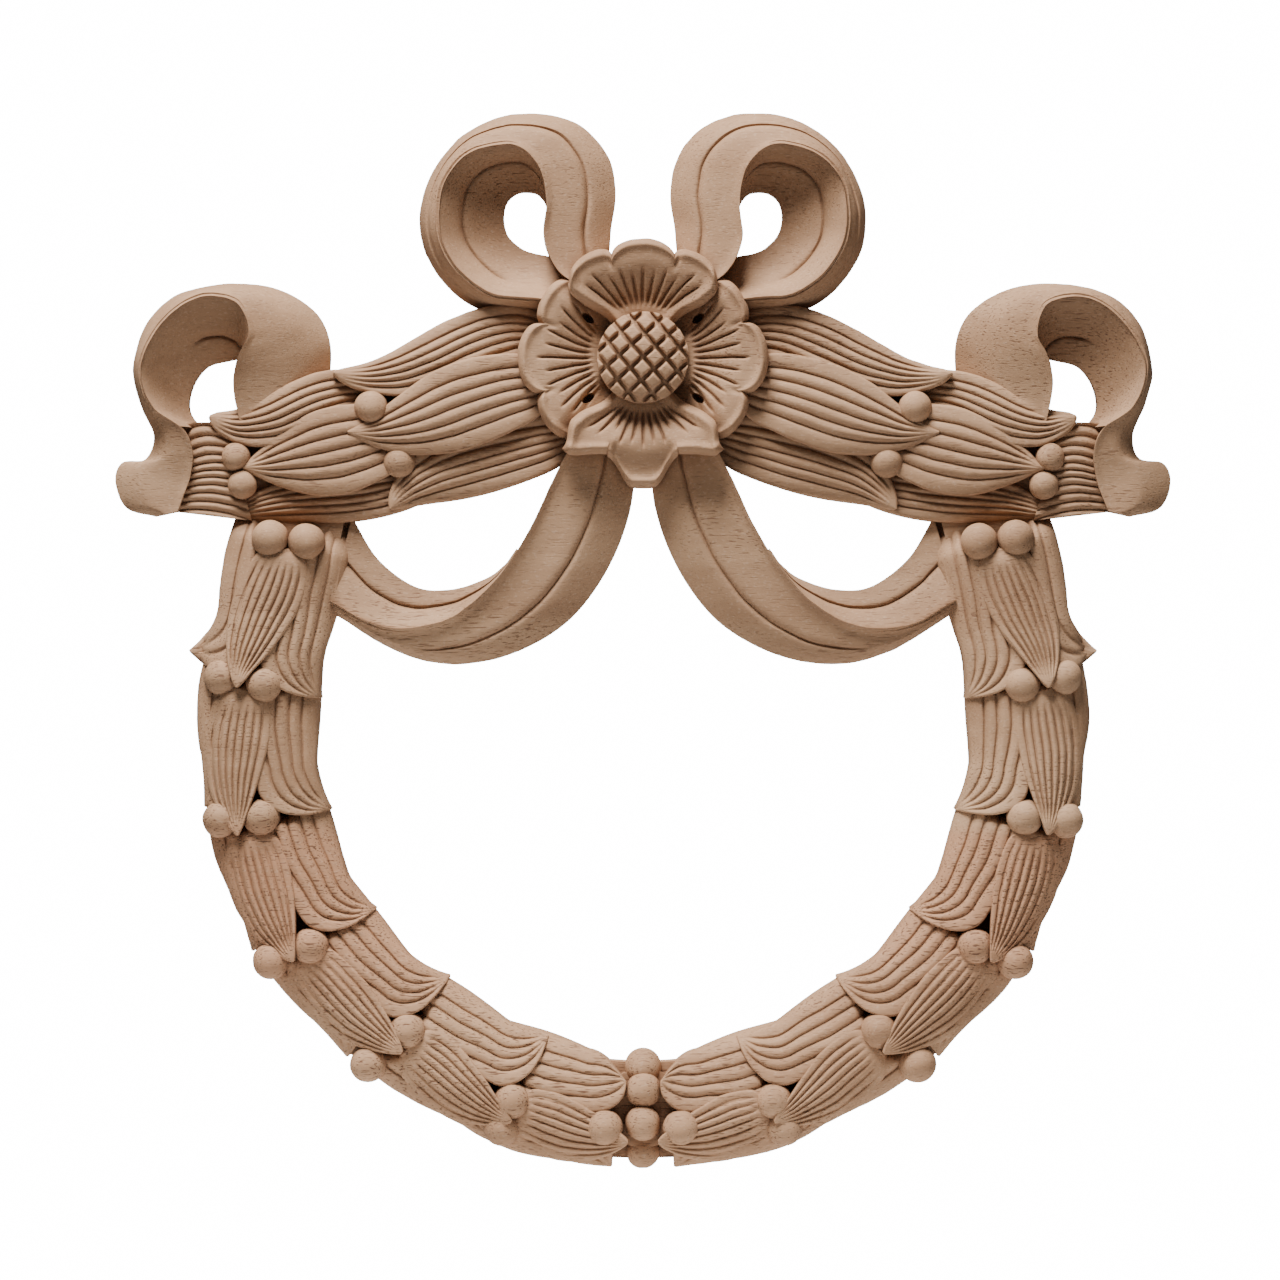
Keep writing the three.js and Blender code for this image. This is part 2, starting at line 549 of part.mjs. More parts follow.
// Draws together each edge whose loss moves the surface by less than the finish allows, unless
// that would pinch the surface or turn a face over
function finished({ vertProperties, triVerts }) {
  const places = [];
  for (let i = 0; i < vertProperties.length; i += 3) {
    places.push(new THREE.Vector3().fromArray(vertProperties, i));
  }
  const faces = [];
  const around = places.map(() => new Set());
  for (let i = 0; i < triVerts.length; i += 3) {
    const corners = [...triVerts.slice(i, i + 3)];
    corners.forEach((corner) => around[corner].add(faces.length));
    faces.push(corners);
  }
  const triangleOf = (corners) => new THREE.Triangle(...corners.map((corner) => places[corner]));
  const neighbours = (corner) => new Set([...around[corner]].flatMap((face) => faces[face]));

  // How far the surface moves if one corner is drawn to another, or Infinity where it may not be
  const loss = (from, to) => {
    const shared = [...neighbours(from)].filter((corner) => neighbours(to).has(corner));
    if (shared.length !== 4) {
      return Infinity;
    }
    if (places[from].distanceTo(places[to]) < SAME_PLACE) {
      return 0;
    }
    const offset = places[from].clone().sub(places[to]);
    let furthest = 0;
    for (const face of around[from]) {
      if (faces[face].includes(to)) {
        continue;
      }
      const before = triangleOf(faces[face]);
      const after = triangleOf(faces[face].map((corner) => (corner === from ? to : corner)));
      if (before.getArea() < SLIVER_AREA || after.getArea() < SLIVER_AREA) {
        return Infinity;
      }
      const facing = after.getNormal(new THREE.Vector3());
      if (before.getNormal(new THREE.Vector3()).dot(facing) < SHARPEST_TURN) {
        return Infinity;
      }
      furthest = Math.max(furthest, Math.abs(offset.dot(facing)));
    }
    return furthest;
  };
  const draw = (from, to) => {
    for (const face of around[from]) {
      if (faces[face].includes(to)) {
        faces[face].forEach((corner) => around[corner].delete(face));
        faces[face] = null;
      } else {
        faces[face] = faces[face].map((corner) => (corner === from ? to : corner));
        around[to].add(face);
      }
    }
    around[from].clear();
  };
  for (let pass = 0; pass < FINISH_PASSES; pass += 1) {
    const edges = faces.filter(Boolean).flatMap(([a, b, c]) => [[a, b], [b, c], [c, a]]);
    const lengths = new Map(edges.map((edge) => [edge, places[edge[0]].distanceTo(places[edge[1]])]));
    const short = edges.filter((edge) => lengths.get(edge) < FINISH_REACH);
    short.sort((one, other) => lengths.get(one) - lengths.get(other));
    for (const [from, to] of short) {
      const isLive = around[from].size > 0 && around[to].size > 0;
      if (isLive && [...around[from]].some((face) => faces[face].includes(to)) && loss(from, to) < FINISH) {
        draw(from, to);
      }
    }
  }
  return { places, faces: faces.filter(Boolean) };
}

const { places, faces } = finished(whole.getMesh());
const surface = new THREE.BufferGeometry().setFromPoints(places);
surface.setIndex(faces.flat());
const geometry = mergeVertices(surface, SAME_PLACE);
geometry.computeVertexNormals();

const wood = new THREE.MeshStandardMaterial({ color: 0xb08d70, roughness: 0.75, metalness: 0 });
const onlay = new THREE.Mesh(geometry, wood);
onlay.name = 'carved_onlay';

const model = new THREE.Group();
model.add(onlay);

export default model;
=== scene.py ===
import bisect
import json
import math

import bmesh
import bpy
from mathutils import Matrix, Vector, noise
from mathutils.bvhtree import BVHTree

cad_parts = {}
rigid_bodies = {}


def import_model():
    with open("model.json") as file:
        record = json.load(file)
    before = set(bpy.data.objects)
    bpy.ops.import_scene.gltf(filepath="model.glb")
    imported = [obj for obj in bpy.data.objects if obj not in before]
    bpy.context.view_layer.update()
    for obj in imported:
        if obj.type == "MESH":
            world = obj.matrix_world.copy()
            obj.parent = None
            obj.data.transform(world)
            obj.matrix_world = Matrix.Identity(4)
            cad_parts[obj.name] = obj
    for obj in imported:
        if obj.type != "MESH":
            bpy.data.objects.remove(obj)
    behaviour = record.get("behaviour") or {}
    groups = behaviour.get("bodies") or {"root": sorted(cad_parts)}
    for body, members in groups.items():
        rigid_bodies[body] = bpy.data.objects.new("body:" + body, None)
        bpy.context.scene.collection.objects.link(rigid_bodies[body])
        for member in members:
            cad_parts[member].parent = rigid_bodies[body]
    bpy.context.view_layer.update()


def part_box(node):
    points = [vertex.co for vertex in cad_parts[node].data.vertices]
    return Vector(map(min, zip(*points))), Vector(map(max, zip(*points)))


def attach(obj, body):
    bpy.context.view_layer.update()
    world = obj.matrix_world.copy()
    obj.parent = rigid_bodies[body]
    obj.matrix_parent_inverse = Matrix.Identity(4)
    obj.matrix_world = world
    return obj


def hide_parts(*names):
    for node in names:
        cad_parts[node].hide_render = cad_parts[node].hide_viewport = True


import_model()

bl_info = {
    "name": "Carved floral onlay",
    "version": (1, 0, 0),
    "blender": (4, 5, 0),
    "location": "3D View > Sidebar > Onlay",
    "description": "Carves a wooden flower, bow and garland, and sets them on a pale stage",
    "category": "Object",
}

NODE = "carved_onlay"
BODY = "root"
BLANKS = "carving blanks"

# The frame's own size sets every length: places are in hundredths of the onlay's width, and
# rises, depths and widths of cuts are in three-hundredths of it, which are millimetres here
FULL_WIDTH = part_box(NODE)[1].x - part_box(NODE)[0].x
UNIT = FULL_WIDTH / 100
MM = FULL_WIDTH / 300

# Rises of the carving above the flat back, as in the solid
EDGE = 6
BED_RISE = 8
GARLAND_RISE = 17
SWAG_RISE = 18
RIBBON_RISE = 15
LOOP_RISE = 19
PETAL_RISE = 20
PETAL_LIFT = 1.8
SEED_HEAD_RISE = 26

# How far the blanks reach behind the back before it is sawn flat, the width that a leaf keeps at its
# tip, and how far a ribbon's inner face runs in under its outer face
SAWN_OFF = 2
TIP_WIDTH = 0.5
TUCK = 1

# The settings of the cuts are lengths in metres
MM_PER_M = 1000


# Plain sums

def lerp(a, b, share):
    return a + (b - a) * share


def clamp(value, low=0.0, high=1.0):
    return min(max(value, low), high)


def smoothstep(value, low, high):
    share = clamp((value - low) / (high - low))
    return share * share * (3 - 2 * share)


def half_wave(share):
    """From 0 up to 1 at the middle and back."""
    return math.sin(math.pi * clamp(share))


def in_mm(length):
    """A length on the face, in hundredths of the width, as millimetres."""
    return length * UNIT / MM


def arc_mm(angle, radius):
    """The millimetres along an arc, its angle in degrees and its radius in hundredths."""
    return in_mm(angle * math.pi / 180 * radius)


def unit_turned(degrees):
    """The direction on the face at an angle, as a complex number."""
    turn = math.radians(degrees)
    return complex(math.cos(turn), math.sin(turn))


class Line:
    """A smooth line through places on the face, each place a complex number: x + z i."""

    MEASURES = 200

    def __init__(self, *points):
        places = [complex(*point) for point in points]
        self.spans = len(places) - 1
        self.knots = [2 * places[0] - places[1], *places, 2 * places[-1] - places[-2]]
        self.lengths = [0.0]
        steps = [self.at(i / self.MEASURES) for i in range(self.MEASURES + 1)]
        for before, after in zip(steps, steps[1:]):
            self.lengths.append(self.lengths[-1] + abs(after - before))

    def _span(self, share):
        spot = clamp(share) * self.spans
        first = min(int(spot), self.spans - 1)
        return spot - first, self.knots[first:first + 4]

    def at(self, share):
        t, (a, b, c, d) = self._span(share)
        cubic = (3 * b - a - 3 * c + d) * t ** 3
        return (2 * b + (c - a) * t + (2 * a - 5 * b + 4 * c - d) * t ** 2 + cubic) / 2

    def heading(self, share):
        t, (a, b, c, d) = self._span(share)
        slope = (c - a) + 2 * (2 * a - 5 * b + 4 * c - d) * t + 3 * (3 * b - a - 3 * c + d) * t ** 2
        return slope / max(abs(slope), 1e-9)

    def share_at(self, length):
        """The share of the line that a length along it reaches."""
        length = clamp(length, 0, self.lengths[-1])
        i = clamp(bisect.bisect_right(self.lengths, length) - 1, 0, self.MEASURES - 1)
        step = self.lengths[i + 1] - self.lengths[i]
        return (i + (length - self.lengths[i]) / step) / self.MEASURES

    def stretch(self, start, end):
        """The line between two of its points, as a function of a share from 0 to 1."""
        return lambda u: self.at(lerp(start, end, u) / self.spans)


def settings():
    return bpy.context.scene.onlay_carving


# Blanks: closed pieces of the carving, joined into one piece of wood at the end

def blank(shape, name):
    """Keeps a finished shape as an object among the blanks."""
    bmesh.ops.recalc_face_normals(shape, faces=shape.faces[:])
    mesh = bpy.data.meshes.new(name)
    shape.to_mesh(mesh)
    shape.free()
    piece = bpy.data.objects.new(name, mesh)
    blanks().objects.link(piece)
    return piece


def blanks():
    found = bpy.data.collections.get(BLANKS)
    if found is None:
        found = bpy.data.collections.new(BLANKS)
        bpy.context.scene.collection.children.link(found)
    return found


def slab(name, face, length_steps, width_steps):
    """A slab with its back behind the wall's face and a carved front: face(u, v) gives its place
    and its rise at each point, u and v from 0 to 1."""
    shape = bmesh.new()
    bmesh.ops.create_grid(shape, x_segments=length_steps, y_segments=width_steps, size=0.5)
    for vert in shape.verts:
        place, rise = face(vert.co.x + 0.5, vert.co.y + 0.5)
        vert.co = (place.real * UNIT, -rise * MM, place.imag * UNIT)
    rim = [edge for edge in shape.edges if edge.is_boundary]
    walls = bmesh.ops.extrude_edge_only(shape, edges=rim)["geom"]
    for vert in walls:
        if isinstance(vert, bmesh.types.BMVert):
            vert.co.y = SAWN_OFF * MM
    bmesh.ops.edgeloop_fill(shape, edges=[edge for edge in shape.edges if edge.is_boundary])
    return blank(shape, name)


BALL_SEGMENTS = (28, 18)
FACING_OUT = Matrix.Rotation(math.pi / 2, 4, "X")


def ball(name, place, radius, rise):
    """A round head on a straight stem of wood, such as a berry."""
    shape = bmesh.new()
    around, down = BALL_SEGMENTS
    bmesh.ops.create_uvsphere(
        shape, u_segments=around, v_segments=down, radius=radius * UNIT, matrix=FACING_OUT)
    middle = (rise * MM) - radius * UNIT
    for vert in shape.verts:
        behind = vert.co.y > UNIT * 1e-3
        vert.co += Vector((place.real * UNIT, -middle, place.imag * UNIT))
        if behind:
            vert.co.y = SAWN_OFF * MM
    return blank(shape, name)


def post(name, height, radius, rise, segments):
    """A round post out from the back, at a height on the onlay's middle line."""
    shape = bmesh.new()
    depth = (rise + SAWN_OFF) * MM
    middle = Matrix.Translation((0, (SAWN_OFF - rise) / 2 * MM, height * UNIT))
    bmesh.ops.create_cone(
        shape, cap_ends=True, segments=segments, radius1=radius * UNIT, radius2=radius * UNIT,
        depth=depth, matrix=middle @ FACING_OUT,
    )
    return blank(shape, name)


def joined(piece, others, operation="UNION"):
    """The piece joined with a list of others, or cut by them. The others are used up."""
    tools = bpy.data.collections.new("tools")
    for other in others:
        tools.objects.link(other)
    boolean = piece.modifiers.new("join", "BOOLEAN")
    boolean.operation = operation
    boolean.operand_type = "COLLECTION"
    boolean.collection = tools
    boolean.solver = "MANIFOLD"
    apply_modifiers(piece)
    bpy.data.collections.remove(tools)
    for other in others:
        bpy.data.objects.remove(other)
    return piece


def apply_modifiers(piece):
    bpy.context.view_layer.update()
    finished = piece.evaluated_get(bpy.context.evaluated_depsgraph_get())
    mesh = bpy.data.meshes.new_from_object(finished)
    piece.modifiers.clear()
    piece.data = mesh


# Cuts

def rounded_edge(distance, radius):
    """How far a rounded edge drops, at a distance in from it."""
    if distance >= radius:
        return 0.0
    inside = radius - max(distance, 0)
    return radius - math.sqrt(radius * radius - inside * inside)


def cut(distance, width):
    """The profile of a carved line: 1 along its middle, 0 past its width."""
    return math.exp(-((distance / width) ** 2))


def finger(share, starts, fades):
    """How deep a carved line is along its length: it comes in at one end and fades at the other."""
    return smoothstep(share, *starts) * (1 - smoothstep(share, *fades))


def bunched(v):
    """Puts the columns of a slab closer together at its two edges."""
    return lerp(v, 0.5 - 0.5 * math.cos(math.pi * v), 0.4)


def carved_lines(side, half_width, lines, share):
    """The depth of a leaf's lines at a share of its half width: each a fine cut in a wider hollow."""
    carving = settings()
    nearest = min(abs(side - line) for line in lines) * half_width
    fine = carving.groove_depth * MM_PER_M * cut(nearest, carving.groove_width * MM_PER_M)
    return share * (fine + carving.hollow_depth * MM_PER_M * cut(nearest, carving.hollow_width * MM_PER_M))


def rounded_start(share, reach):
    """From 0 up to 1 like the shoulder of a dome."""
    off = 1 - min(share / reach, 1)
    return math.sqrt(1 - off * off)


# Leaves

def leaf_width(u, base_share, fullest, point):
    """The width of a leaf along it: the higher the point, the slimmer its tip."""
    if u < fullest:
        return lerp(base_share, 1, math.sin((math.pi / 2) * (u / fullest)))
    return math.cos((math.pi / 2) * ((u - fullest) / (1 - fullest))) ** point


def bezier(points, u):
    a, b, c, d = points
    place = a * (1 - u) ** 3 + 3 * b * u * (1 - u) ** 2 + 3 * c * u * u * (1 - u) + d * u ** 3
    slope = (b - a) * (1 - u) ** 2 + 2 * (c - b) * u * (1 - u) + (d - c) * u * u
    return place, slope / max(abs(slope), 1e-9)


LEAF_STEPS = 44
LEAF_COLUMNS = 92

# A swag leaf: the share of its width that its curve and its corners start with, where it is widest,
# how far its rounded start reaches, and the shares where its lines come in and fade
SWAG_LEAF_START = 0.7
SWAG_LEAF_CORNER = 0.5
SWAG_LEAF_WIDEST = 0.4
SWAG_LEAF_SHOULDER = 0.14
SWAG_LINE_ENDS = ((-0.1, 0.1), (0.8, 0.98))


def swag_leaf(name, spine, half_width, point, base_depth, tip_depth, arch, left_drop, right_drop, lines):
    spine = [complex(*point) for point in spine]
    carving = settings()

    def face(u, v):
        v = bunched(v)
        middle, along = bezier(spine, u)
        side = 2 * v - 1
        half = half_width * leaf_width(u, SWAG_LEAF_START, SWAG_LEAF_WIDEST, point)
        half *= lerp(SWAG_LEAF_CORNER, 1, rounded_start(u, SWAG_LEAF_SHOULDER))
        half += TIP_WIDTH * MM / UNIT
        drop = left_drop if side < 0 else right_drop
        drop *= side * side * math.sin(math.pi * (1 - u) ** 0.6)
        ridge = SWAG_RISE - lerp(base_depth, tip_depth, u) + arch * math.sin(math.pi * u)
        half_mm = in_mm(half)
        rise = ridge - drop - carved_lines(side, half_mm, lines, finger(u, *SWAG_LINE_ENDS))
        rise -= rounded_edge((1 - abs(side)) * half_mm, carving.edge_round * MM_PER_M)
        return middle - 1j * along * side * half, max(rise, EDGE - 1)

    return slab(name, face, LEAF_STEPS, LEAF_COLUMNS)


# The garland

GARLAND_LINE = Line(
    (-32.7, -14.1), (-34.8, -23.8), (-36.4, -32.3), (-36.1, -39.9), (-33.6, -49.4),
    (-27.3, -58.9), (-16.6, -66.7), (-7.3, -70.4), (1.6, -71.3),
)
GARLAND_LENGTH = GARLAND_LINE.lengths[-1]
GARLAND_HALF_WIDTH = 5.35
BERRY_RADIUS = 1.75
FIRST_START = (4, 0.4)

# A centre leaf: its half width, the shares of it that its curve and its corners start with, where it
# is widest, the sharpness of its tip, its rounded start and how deep that starts, how far its start
# and its tip stand over the garland's round, and where its lines come in and fade
CENTRE_HALF_WIDTH = 3
CENTRE_START = 0.72
CENTRE_CORNER = 0.45
CENTRE_WIDEST = 0.35
CENTRE_POINT = 0.85
CENTRE_SHOULDER = 0.16
SHOULDER_DIP = 3
CENTRE_LIFT = (-0.3, 2.5)
CENTRE_LINE_ENDS = ((0.07, 0.24), (0.8, 0.99))

# A side leaf: where its inner edge starts to turn outwards and over what length, how full its end is,
# where its outer edge leaves the garland's line, and where its lines come in and fade
SIDE_TURN = 0.6
SIDE_BEND = 3.4
END_FULLNESS = 0.2
HOOK_FULLNESS = 1.7
HOOK_START = 6.3
HOOK_BEND = 2.2
TIP_START = 0.7
TIP_LENGTH = 0.3
SIDE_SWELL = 0.5
SIDE_LIFT = (-1.5, 0.5)
SIDE_LINE_ENDS = ((-0.1, 0.1), (0.84, 1))

# How far across a side leaf's inner edge lies, hidden under the centre leaf and then opened beside
# the pit, on the outer and on the inner leaf
OUTER_START = (0.3, 0.3)
INNER_START = (-1.2, -0.4)

# The first leaves start low, under the swag
TOP_DIP = 7
TOP_DIP_REACH = (0.5, 4)

# The pits cut between a leaf's tip and its berries, and how far they reach along the next leaf
PIT_DEPTH = 8
PIT_REACH = (2.6, 4.2)

# Each group of the garland, each place as along and across: the tips of its middle leaf, its
# outer leaf and the leaf towards the opening, and its two berries
GARLAND_GROUPS = (
    ((17.6, 2), (15.2, 7.3), (17.6, -5.9), ((17, -0.4), (16.9, 3.6))),
    ((30.7, 3), (27.6, 5.7), (30.2, -6), ((29.6, 0.5), (29.1, 4.4))),
    ((42.7, 3.1), (40, 6.2), (43, -6), ((42.4, 1), (41.6, 5))),
    ((55.1, 2.2), (51.3, 5.9), (54.6, -6.1), ((54.3, 0.3), (53.2, 5.1))),
    ((66.6, 3), (65.2, 5.2), (67.1, -5.8), ((66, 1.2), (66, 4))),
    ((76.9, 2.8), (75.4, 5.4), (76.3, -3), ()),
)
LEAF_OVERLAP = 4
BERRY_LIFT = 2.5
BERRY_STEP = 2


def on_garland(along, across):
    """A place on the garland: along it from its top, and across it, outwards positive."""
    share = GARLAND_LINE.share_at(along)
    return GARLAND_LINE.at(share) - 1j * GARLAND_LINE.heading(share) * across


def garland_rise(across):
    share = clamp(abs(across) / (GARLAND_HALF_WIDTH + 0.6))
    return lerp(EDGE + 1, GARLAND_RISE, math.sqrt(1 - share * share))


def garland_centre_leaf(name, start, tip, lines):
    carving = settings()

    def face(u, v):
        v = bunched(v)
        side = 2 * v - 1
        across = lerp(start[1], tip[1], smoothstep(u, 0, 1))
        shoulder = rounded_start(u, CENTRE_SHOULDER)
        half = CENTRE_HALF_WIDTH * leaf_width(u, CENTRE_START, CENTRE_WIDEST, CENTRE_POINT)
        half = half * lerp(CENTRE_CORNER, 1, shoulder) + TIP_WIDTH * MM / UNIT
        half_mm = in_mm(half)
        rise = garland_rise(across + side * half) + lerp(*CENTRE_LIFT, u) - SHOULDER_DIP * (1 - shoulder)
        rise -= 1.2 * side * side * finger(u, (0, 0.2), (0.6, 1))
        rise -= carved_lines(side, half_mm, lines, finger(u, *CENTRE_LINE_ENDS))
        rise -= rounded_edge((1 - abs(side)) * half_mm, carving.edge_round * MM_PER_M)
        return on_garland(lerp(start[0], tip[0], u), across + side * half), rise

    return slab(name, face, LEAF_STEPS, LEAF_COLUMNS)


def garland_side_leaf(name, start, tip, lines):
    carving = settings()
    outwards = math.copysign(1, tip[1])
    tip_along = tip[0]
    tip_across = abs(tip[1])
    tip_edge = TIP_WIDTH * MM / UNIT
    hidden, opened = OUTER_START if outwards > 0 else INNER_START
    fullness = END_FULLNESS + HOOK_FULLNESS * max(tip_across - HOOK_START, 0)

    def face(u, v):
        v = bunched(v)
        turn = math.pi / 2 * clamp((u - SIDE_TURN) / (1 - SIDE_TURN))
        outer_along = lerp(start, tip_along, u)
        edge_across = GARLAND_HALF_WIDTH + SIDE_SWELL * half_wave(u / TIP_START)
        hook = clamp((u - TIP_START) / TIP_LENGTH) ** HOOK_BEND
        outer_across = lerp(edge_across, tip_across, hook)
        turn_along = tip_along - SIDE_BEND
        inner_along = lerp(start, turn_along, clamp(u / SIDE_TURN))
        inner_along += (SIDE_BEND + tip_edge) * math.sin(turn) + fullness * math.sin(2 * turn)
        inner_start = lerp(hidden, opened, smoothstep(u, 0.35, SIDE_TURN))
        inner_across = lerp(inner_start, tip_across - tip_edge, 1 - math.cos(turn))
        across = lerp(inner_across, outer_across, v)
        width_mm = in_mm(outer_across - inner_across)
        along = lerp(inner_along, outer_along, v)
        rise = garland_rise(across) + lerp(*SIDE_LIFT, u)
        rise -= TOP_DIP * (1 - smoothstep(along, *TOP_DIP_REACH))
        rise -= carved_lines(v, width_mm, lines, finger(u, *SIDE_LINE_ENDS))
        rise -= PIT_DEPTH * (1 - smoothstep(along - start, *PIT_REACH)) * (1 - smoothstep(v, 0.35, 0.7))
        rise -= rounded_edge(min(v, 1 - v) * width_mm, carving.edge_round * MM_PER_M)
        return on_garland(along, outwards * across), rise

    return slab(name, face, LEAF_STEPS, LEAF_COLUMNS)


def garland_bed():
    def face(u, v):
        across = lerp(-GARLAND_HALF_WIDTH, GARLAND_HALF_WIDTH, v) * 0.85
        return on_garland(GARLAND_LENGTH * u, across), BED_RISE

    return slab("garland_bed", face, 40, 1)


CENTRE_LINES = (-0.72, -0.48, -0.24, 0.0, 0.24, 0.48, 0.72)
SIDE_LINES = (0.24, 0.42, 0.6, 0.77)
OUTER_LINES = (0.45, 0.72)


def carve_garland():
    garland_bed()
    before = FIRST_START
    for centre, outer, inner, berries in GARLAND_GROUPS:
        side_start = before[0] - LEAF_OVERLAP if before is not FIRST_START else 0
        centre_start = (before[0] - 0.2, before[1] * 0.7)
        garland_side_leaf("inner_leaf", side_start, inner, SIDE_LINES)
        garland_side_leaf("outer_leaf", side_start, outer, OUTER_LINES)
        garland_centre_leaf("centre_leaf", centre_start, centre, CENTRE_LINES)
        for i, berry in enumerate(berries):
            rise = GARLAND_RISE + BERRY_LIFT - BERRY_STEP * i
            ball("garland_berry", on_garland(*berry), BERRY_RADIUS, rise)
        before = centre


# The swag of leaves beside the flower

# Each leaf: its spine, its half width, the sharpness of its tip, how far its base and its tip lie
# below the swag's rise, the arch of its ridge, and how far its left and right halves fall away
SWAG_LEAVES = (
    (((-20, -11.2), (-26.5, -13.9), (-33.5, -12.4), (-38.8, -14.8)), 2.3, 0.65, 7, 8, 1, 3, 1),
    (((-25.6, -3.4), (-31.5, -2.2), (-35.1, -8.6), (-41, -5.5)), 2.5, 0.55, 7, 6, 3, 1, 3),
    (((-22.4, -6.8), (-28.7, -8.9), (-32.5, -9.4), (-37.9, -10.4)), 4, 0.95, 5.5, 5, 3, 2, 2),
    (((-6.8, -7.2), (-15, -9.7), (-20.6, -9.9), (-23.9, -14.2)), 3.1, 0.75, 5, 5, 1, 3, 1),
    (((-9, 2.2), (-16, 4.3), (-20.6, -3.6), (-29.2, -1.4)), 2.8, 0.7, 5, 3, 2, 1, 3),
    (((-9, -2.5), (-16.4, -3.1), (-21.1, -7.3), (-27.9, -7)), 3.9, 0.95, 3, 3, 3, 2, 2),
)
SWAG_LINES = (-0.6, -0.3, 0.0, 0.3, 0.6)

# Each berry's place, radius and how far its top lies below the swag's
SWAG_BERRIES = (
    ((-38.5, -9.3), 1.4, 3), ((-37.9, -11.9), 1.4, 3), ((-25.7, -4.6), 1.6, 0),
    ((-23, -9.7), 1.6, 1.5), ((-35.2, -17), 1.75, -1), ((-31.8, -17.3), 1.75, -1),
)


def swag_bed():
    upper = Line((-9, 3), (-20, 2), (-29, -3), (-41, -8))
    lower = Line((-9, -9.5), (-20, -12), (-29, -14.5), (-41, -14))
    return slab("swag_bed", lambda u, v: (lerp(lower.at(u), upper.at(u), v), BED_RISE), 24, 1)


CUFF_RIDGES = 11
CUFF_RIDGE_DEPTH = 1.1
CUFF_RISE = (8.4, 10.6)


def cuff():
    """The gathered cuff that the swag's leaves come out of."""
    outer = Line((-43.9, -6.1), (-43.6, -9.6), (-44, -11.9), (-44.6, -14.4))
    inner = Line((-39.5, -6), (-38.7, -9.1), (-37.9, -11.9), (-37, -15.3))

    def face(u, v):
        ridges = abs(math.sin(math.pi * CUFF_RIDGES * (u + 0.06 * half_wave(v))))
        top = lerp(*CUFF_RISE, smoothstep(v, 0, 0.6)) + half_wave(u)
        return lerp(outer.at(u), inner.at(u), v), top - CUFF_RIDGE_DEPTH * (1 - ridges ** 0.8)

    return slab("cuff", face, 128, 16)


def carve_swag():
    swag_bed()
    cuff()
    for shape in SWAG_LEAVES:
        swag_leaf("swag_leaf", *shape, SWAG_LINES)
    for place, radius, depth in SWAG_BERRIES:
        ball("swag_berry", complex(*place), radius, SWAG_RISE - depth)


# Ribbons

# The shares of a ribbon's length between which its line fades: past its end, or before its start
LINE_TO_END = (1.2, 1.3)
NO_LINE = (-0.2, -0.1)

# A carved line is a fine cut and a soft hollow around it, each with its share of the depth and its
# half width, and a rim is a bead along the edge
LINE_CUT = (0.7, 0.5)
LINE_HOLLOW = (0.3, 1.6)
RIM_HALF_WIDTH = 1.3
RIM_HOLLOW = 1.1
NARROWEST = 1e-6


def ribbon_face(name, edge_a, edge_b, rise_a, rise_b, swell, steps, columns, line,
                ends=LINE_TO_END, rim=0, tuck=0):
    """A ribbon face between two edges, with one carved line along it at a share of its width,
    which fades between two shares of its length, and a raised rim on its second edge."""
    carving = settings()

    def face(u, v):
        v = bunched(v)
        a = edge_a(u)
        b = edge_b(u)
        width_mm = in_mm(max(abs(b - a), NARROWEST))
        place = lerp(a, b, v if v > 0 else -tuck / width_mm)
        rise = lerp(rise_a(u), rise_b(u), v) + swell * half_wave(v)
        bead = cut((1 - v) * width_mm, RIM_HALF_WIDTH)
        rise += rim * (bead - RIM_HOLLOW * half_wave((v - line) / (1 - line)))
        depth = carving.ribbon_line_depth * MM_PER_M * (1 - smoothstep(u, *ends))
        off_mm = (v - line) * width_mm
        profile = sum(share * cut(off_mm, width) for share, width in (LINE_CUT, LINE_HOLLOW))
        return place, rise - depth * profile

    return slab(name, face, steps, columns)


# Each ribbon of the left half: the outer edge of its face, the crest where its inner face starts,
# and the far edge of that inner face. A TURN is the crest's point where the inner face appears.
LOOP_OUTER = Line(
    (-5, 7.4), (-3.4, 9.6), (-3, 12.6), (-2.6, 16), (-3.5, 19.6), (-6.2, 22.3), (-10.2, 23.3),
    (-14.6, 22.6), (-18.4, 20), (-20.8, 15.6), (-20.9, 11), (-18.6, 7), (-15.2, 4.7), (-10.7, 4.1), (-8, 3.4),
)
LOOP_CREST = Line(
    (-6, 6.6), (-8.1, 8.4), (-9.4, 11.3), (-9.1, 14.6), (-9.7, 17.7), (-11.3, 19.7), (-13.5, 20.1),
    (-16.6, 19.1), (-18.6, 16.8), (-19.2, 13.6), (-18.8, 10.7), (-17, 8), (-14, 6), (-9.8, 5.6), (-7, 5),
)
LOOP_HOLE = Line(
    (-9.2, 14.6), (-9.5, 15.2), (-10.2, 15.8), (-11.5, 15.9), (-12.4, 15.5), (-13, 14.7), (-13.2, 13.4),
    (-12.9, 12), (-12.1, 11), (-10.9, 10.2), (-8.6, 9.7), (-6.4, 9),
)
LOOP_TURN = 3
CURL_OUTER = Line(
    (-29.8, -2.4), (-29.7, 1.3), (-30.6, 3.9), (-32.4, 5.6), (-35, 6.8), (-38.2, 7.2), (-41.5, 6.9),
    (-44.7, 5.8), (-47.2, 3.1), (-48.3, -0.9), (-47.6, -4.2), (-46.4, -7.3), (-47.1, -9.4),
    (-49.3, -9.8), (-50, -11.6), (-49, -14.1), (-46.3, -14.9),
)
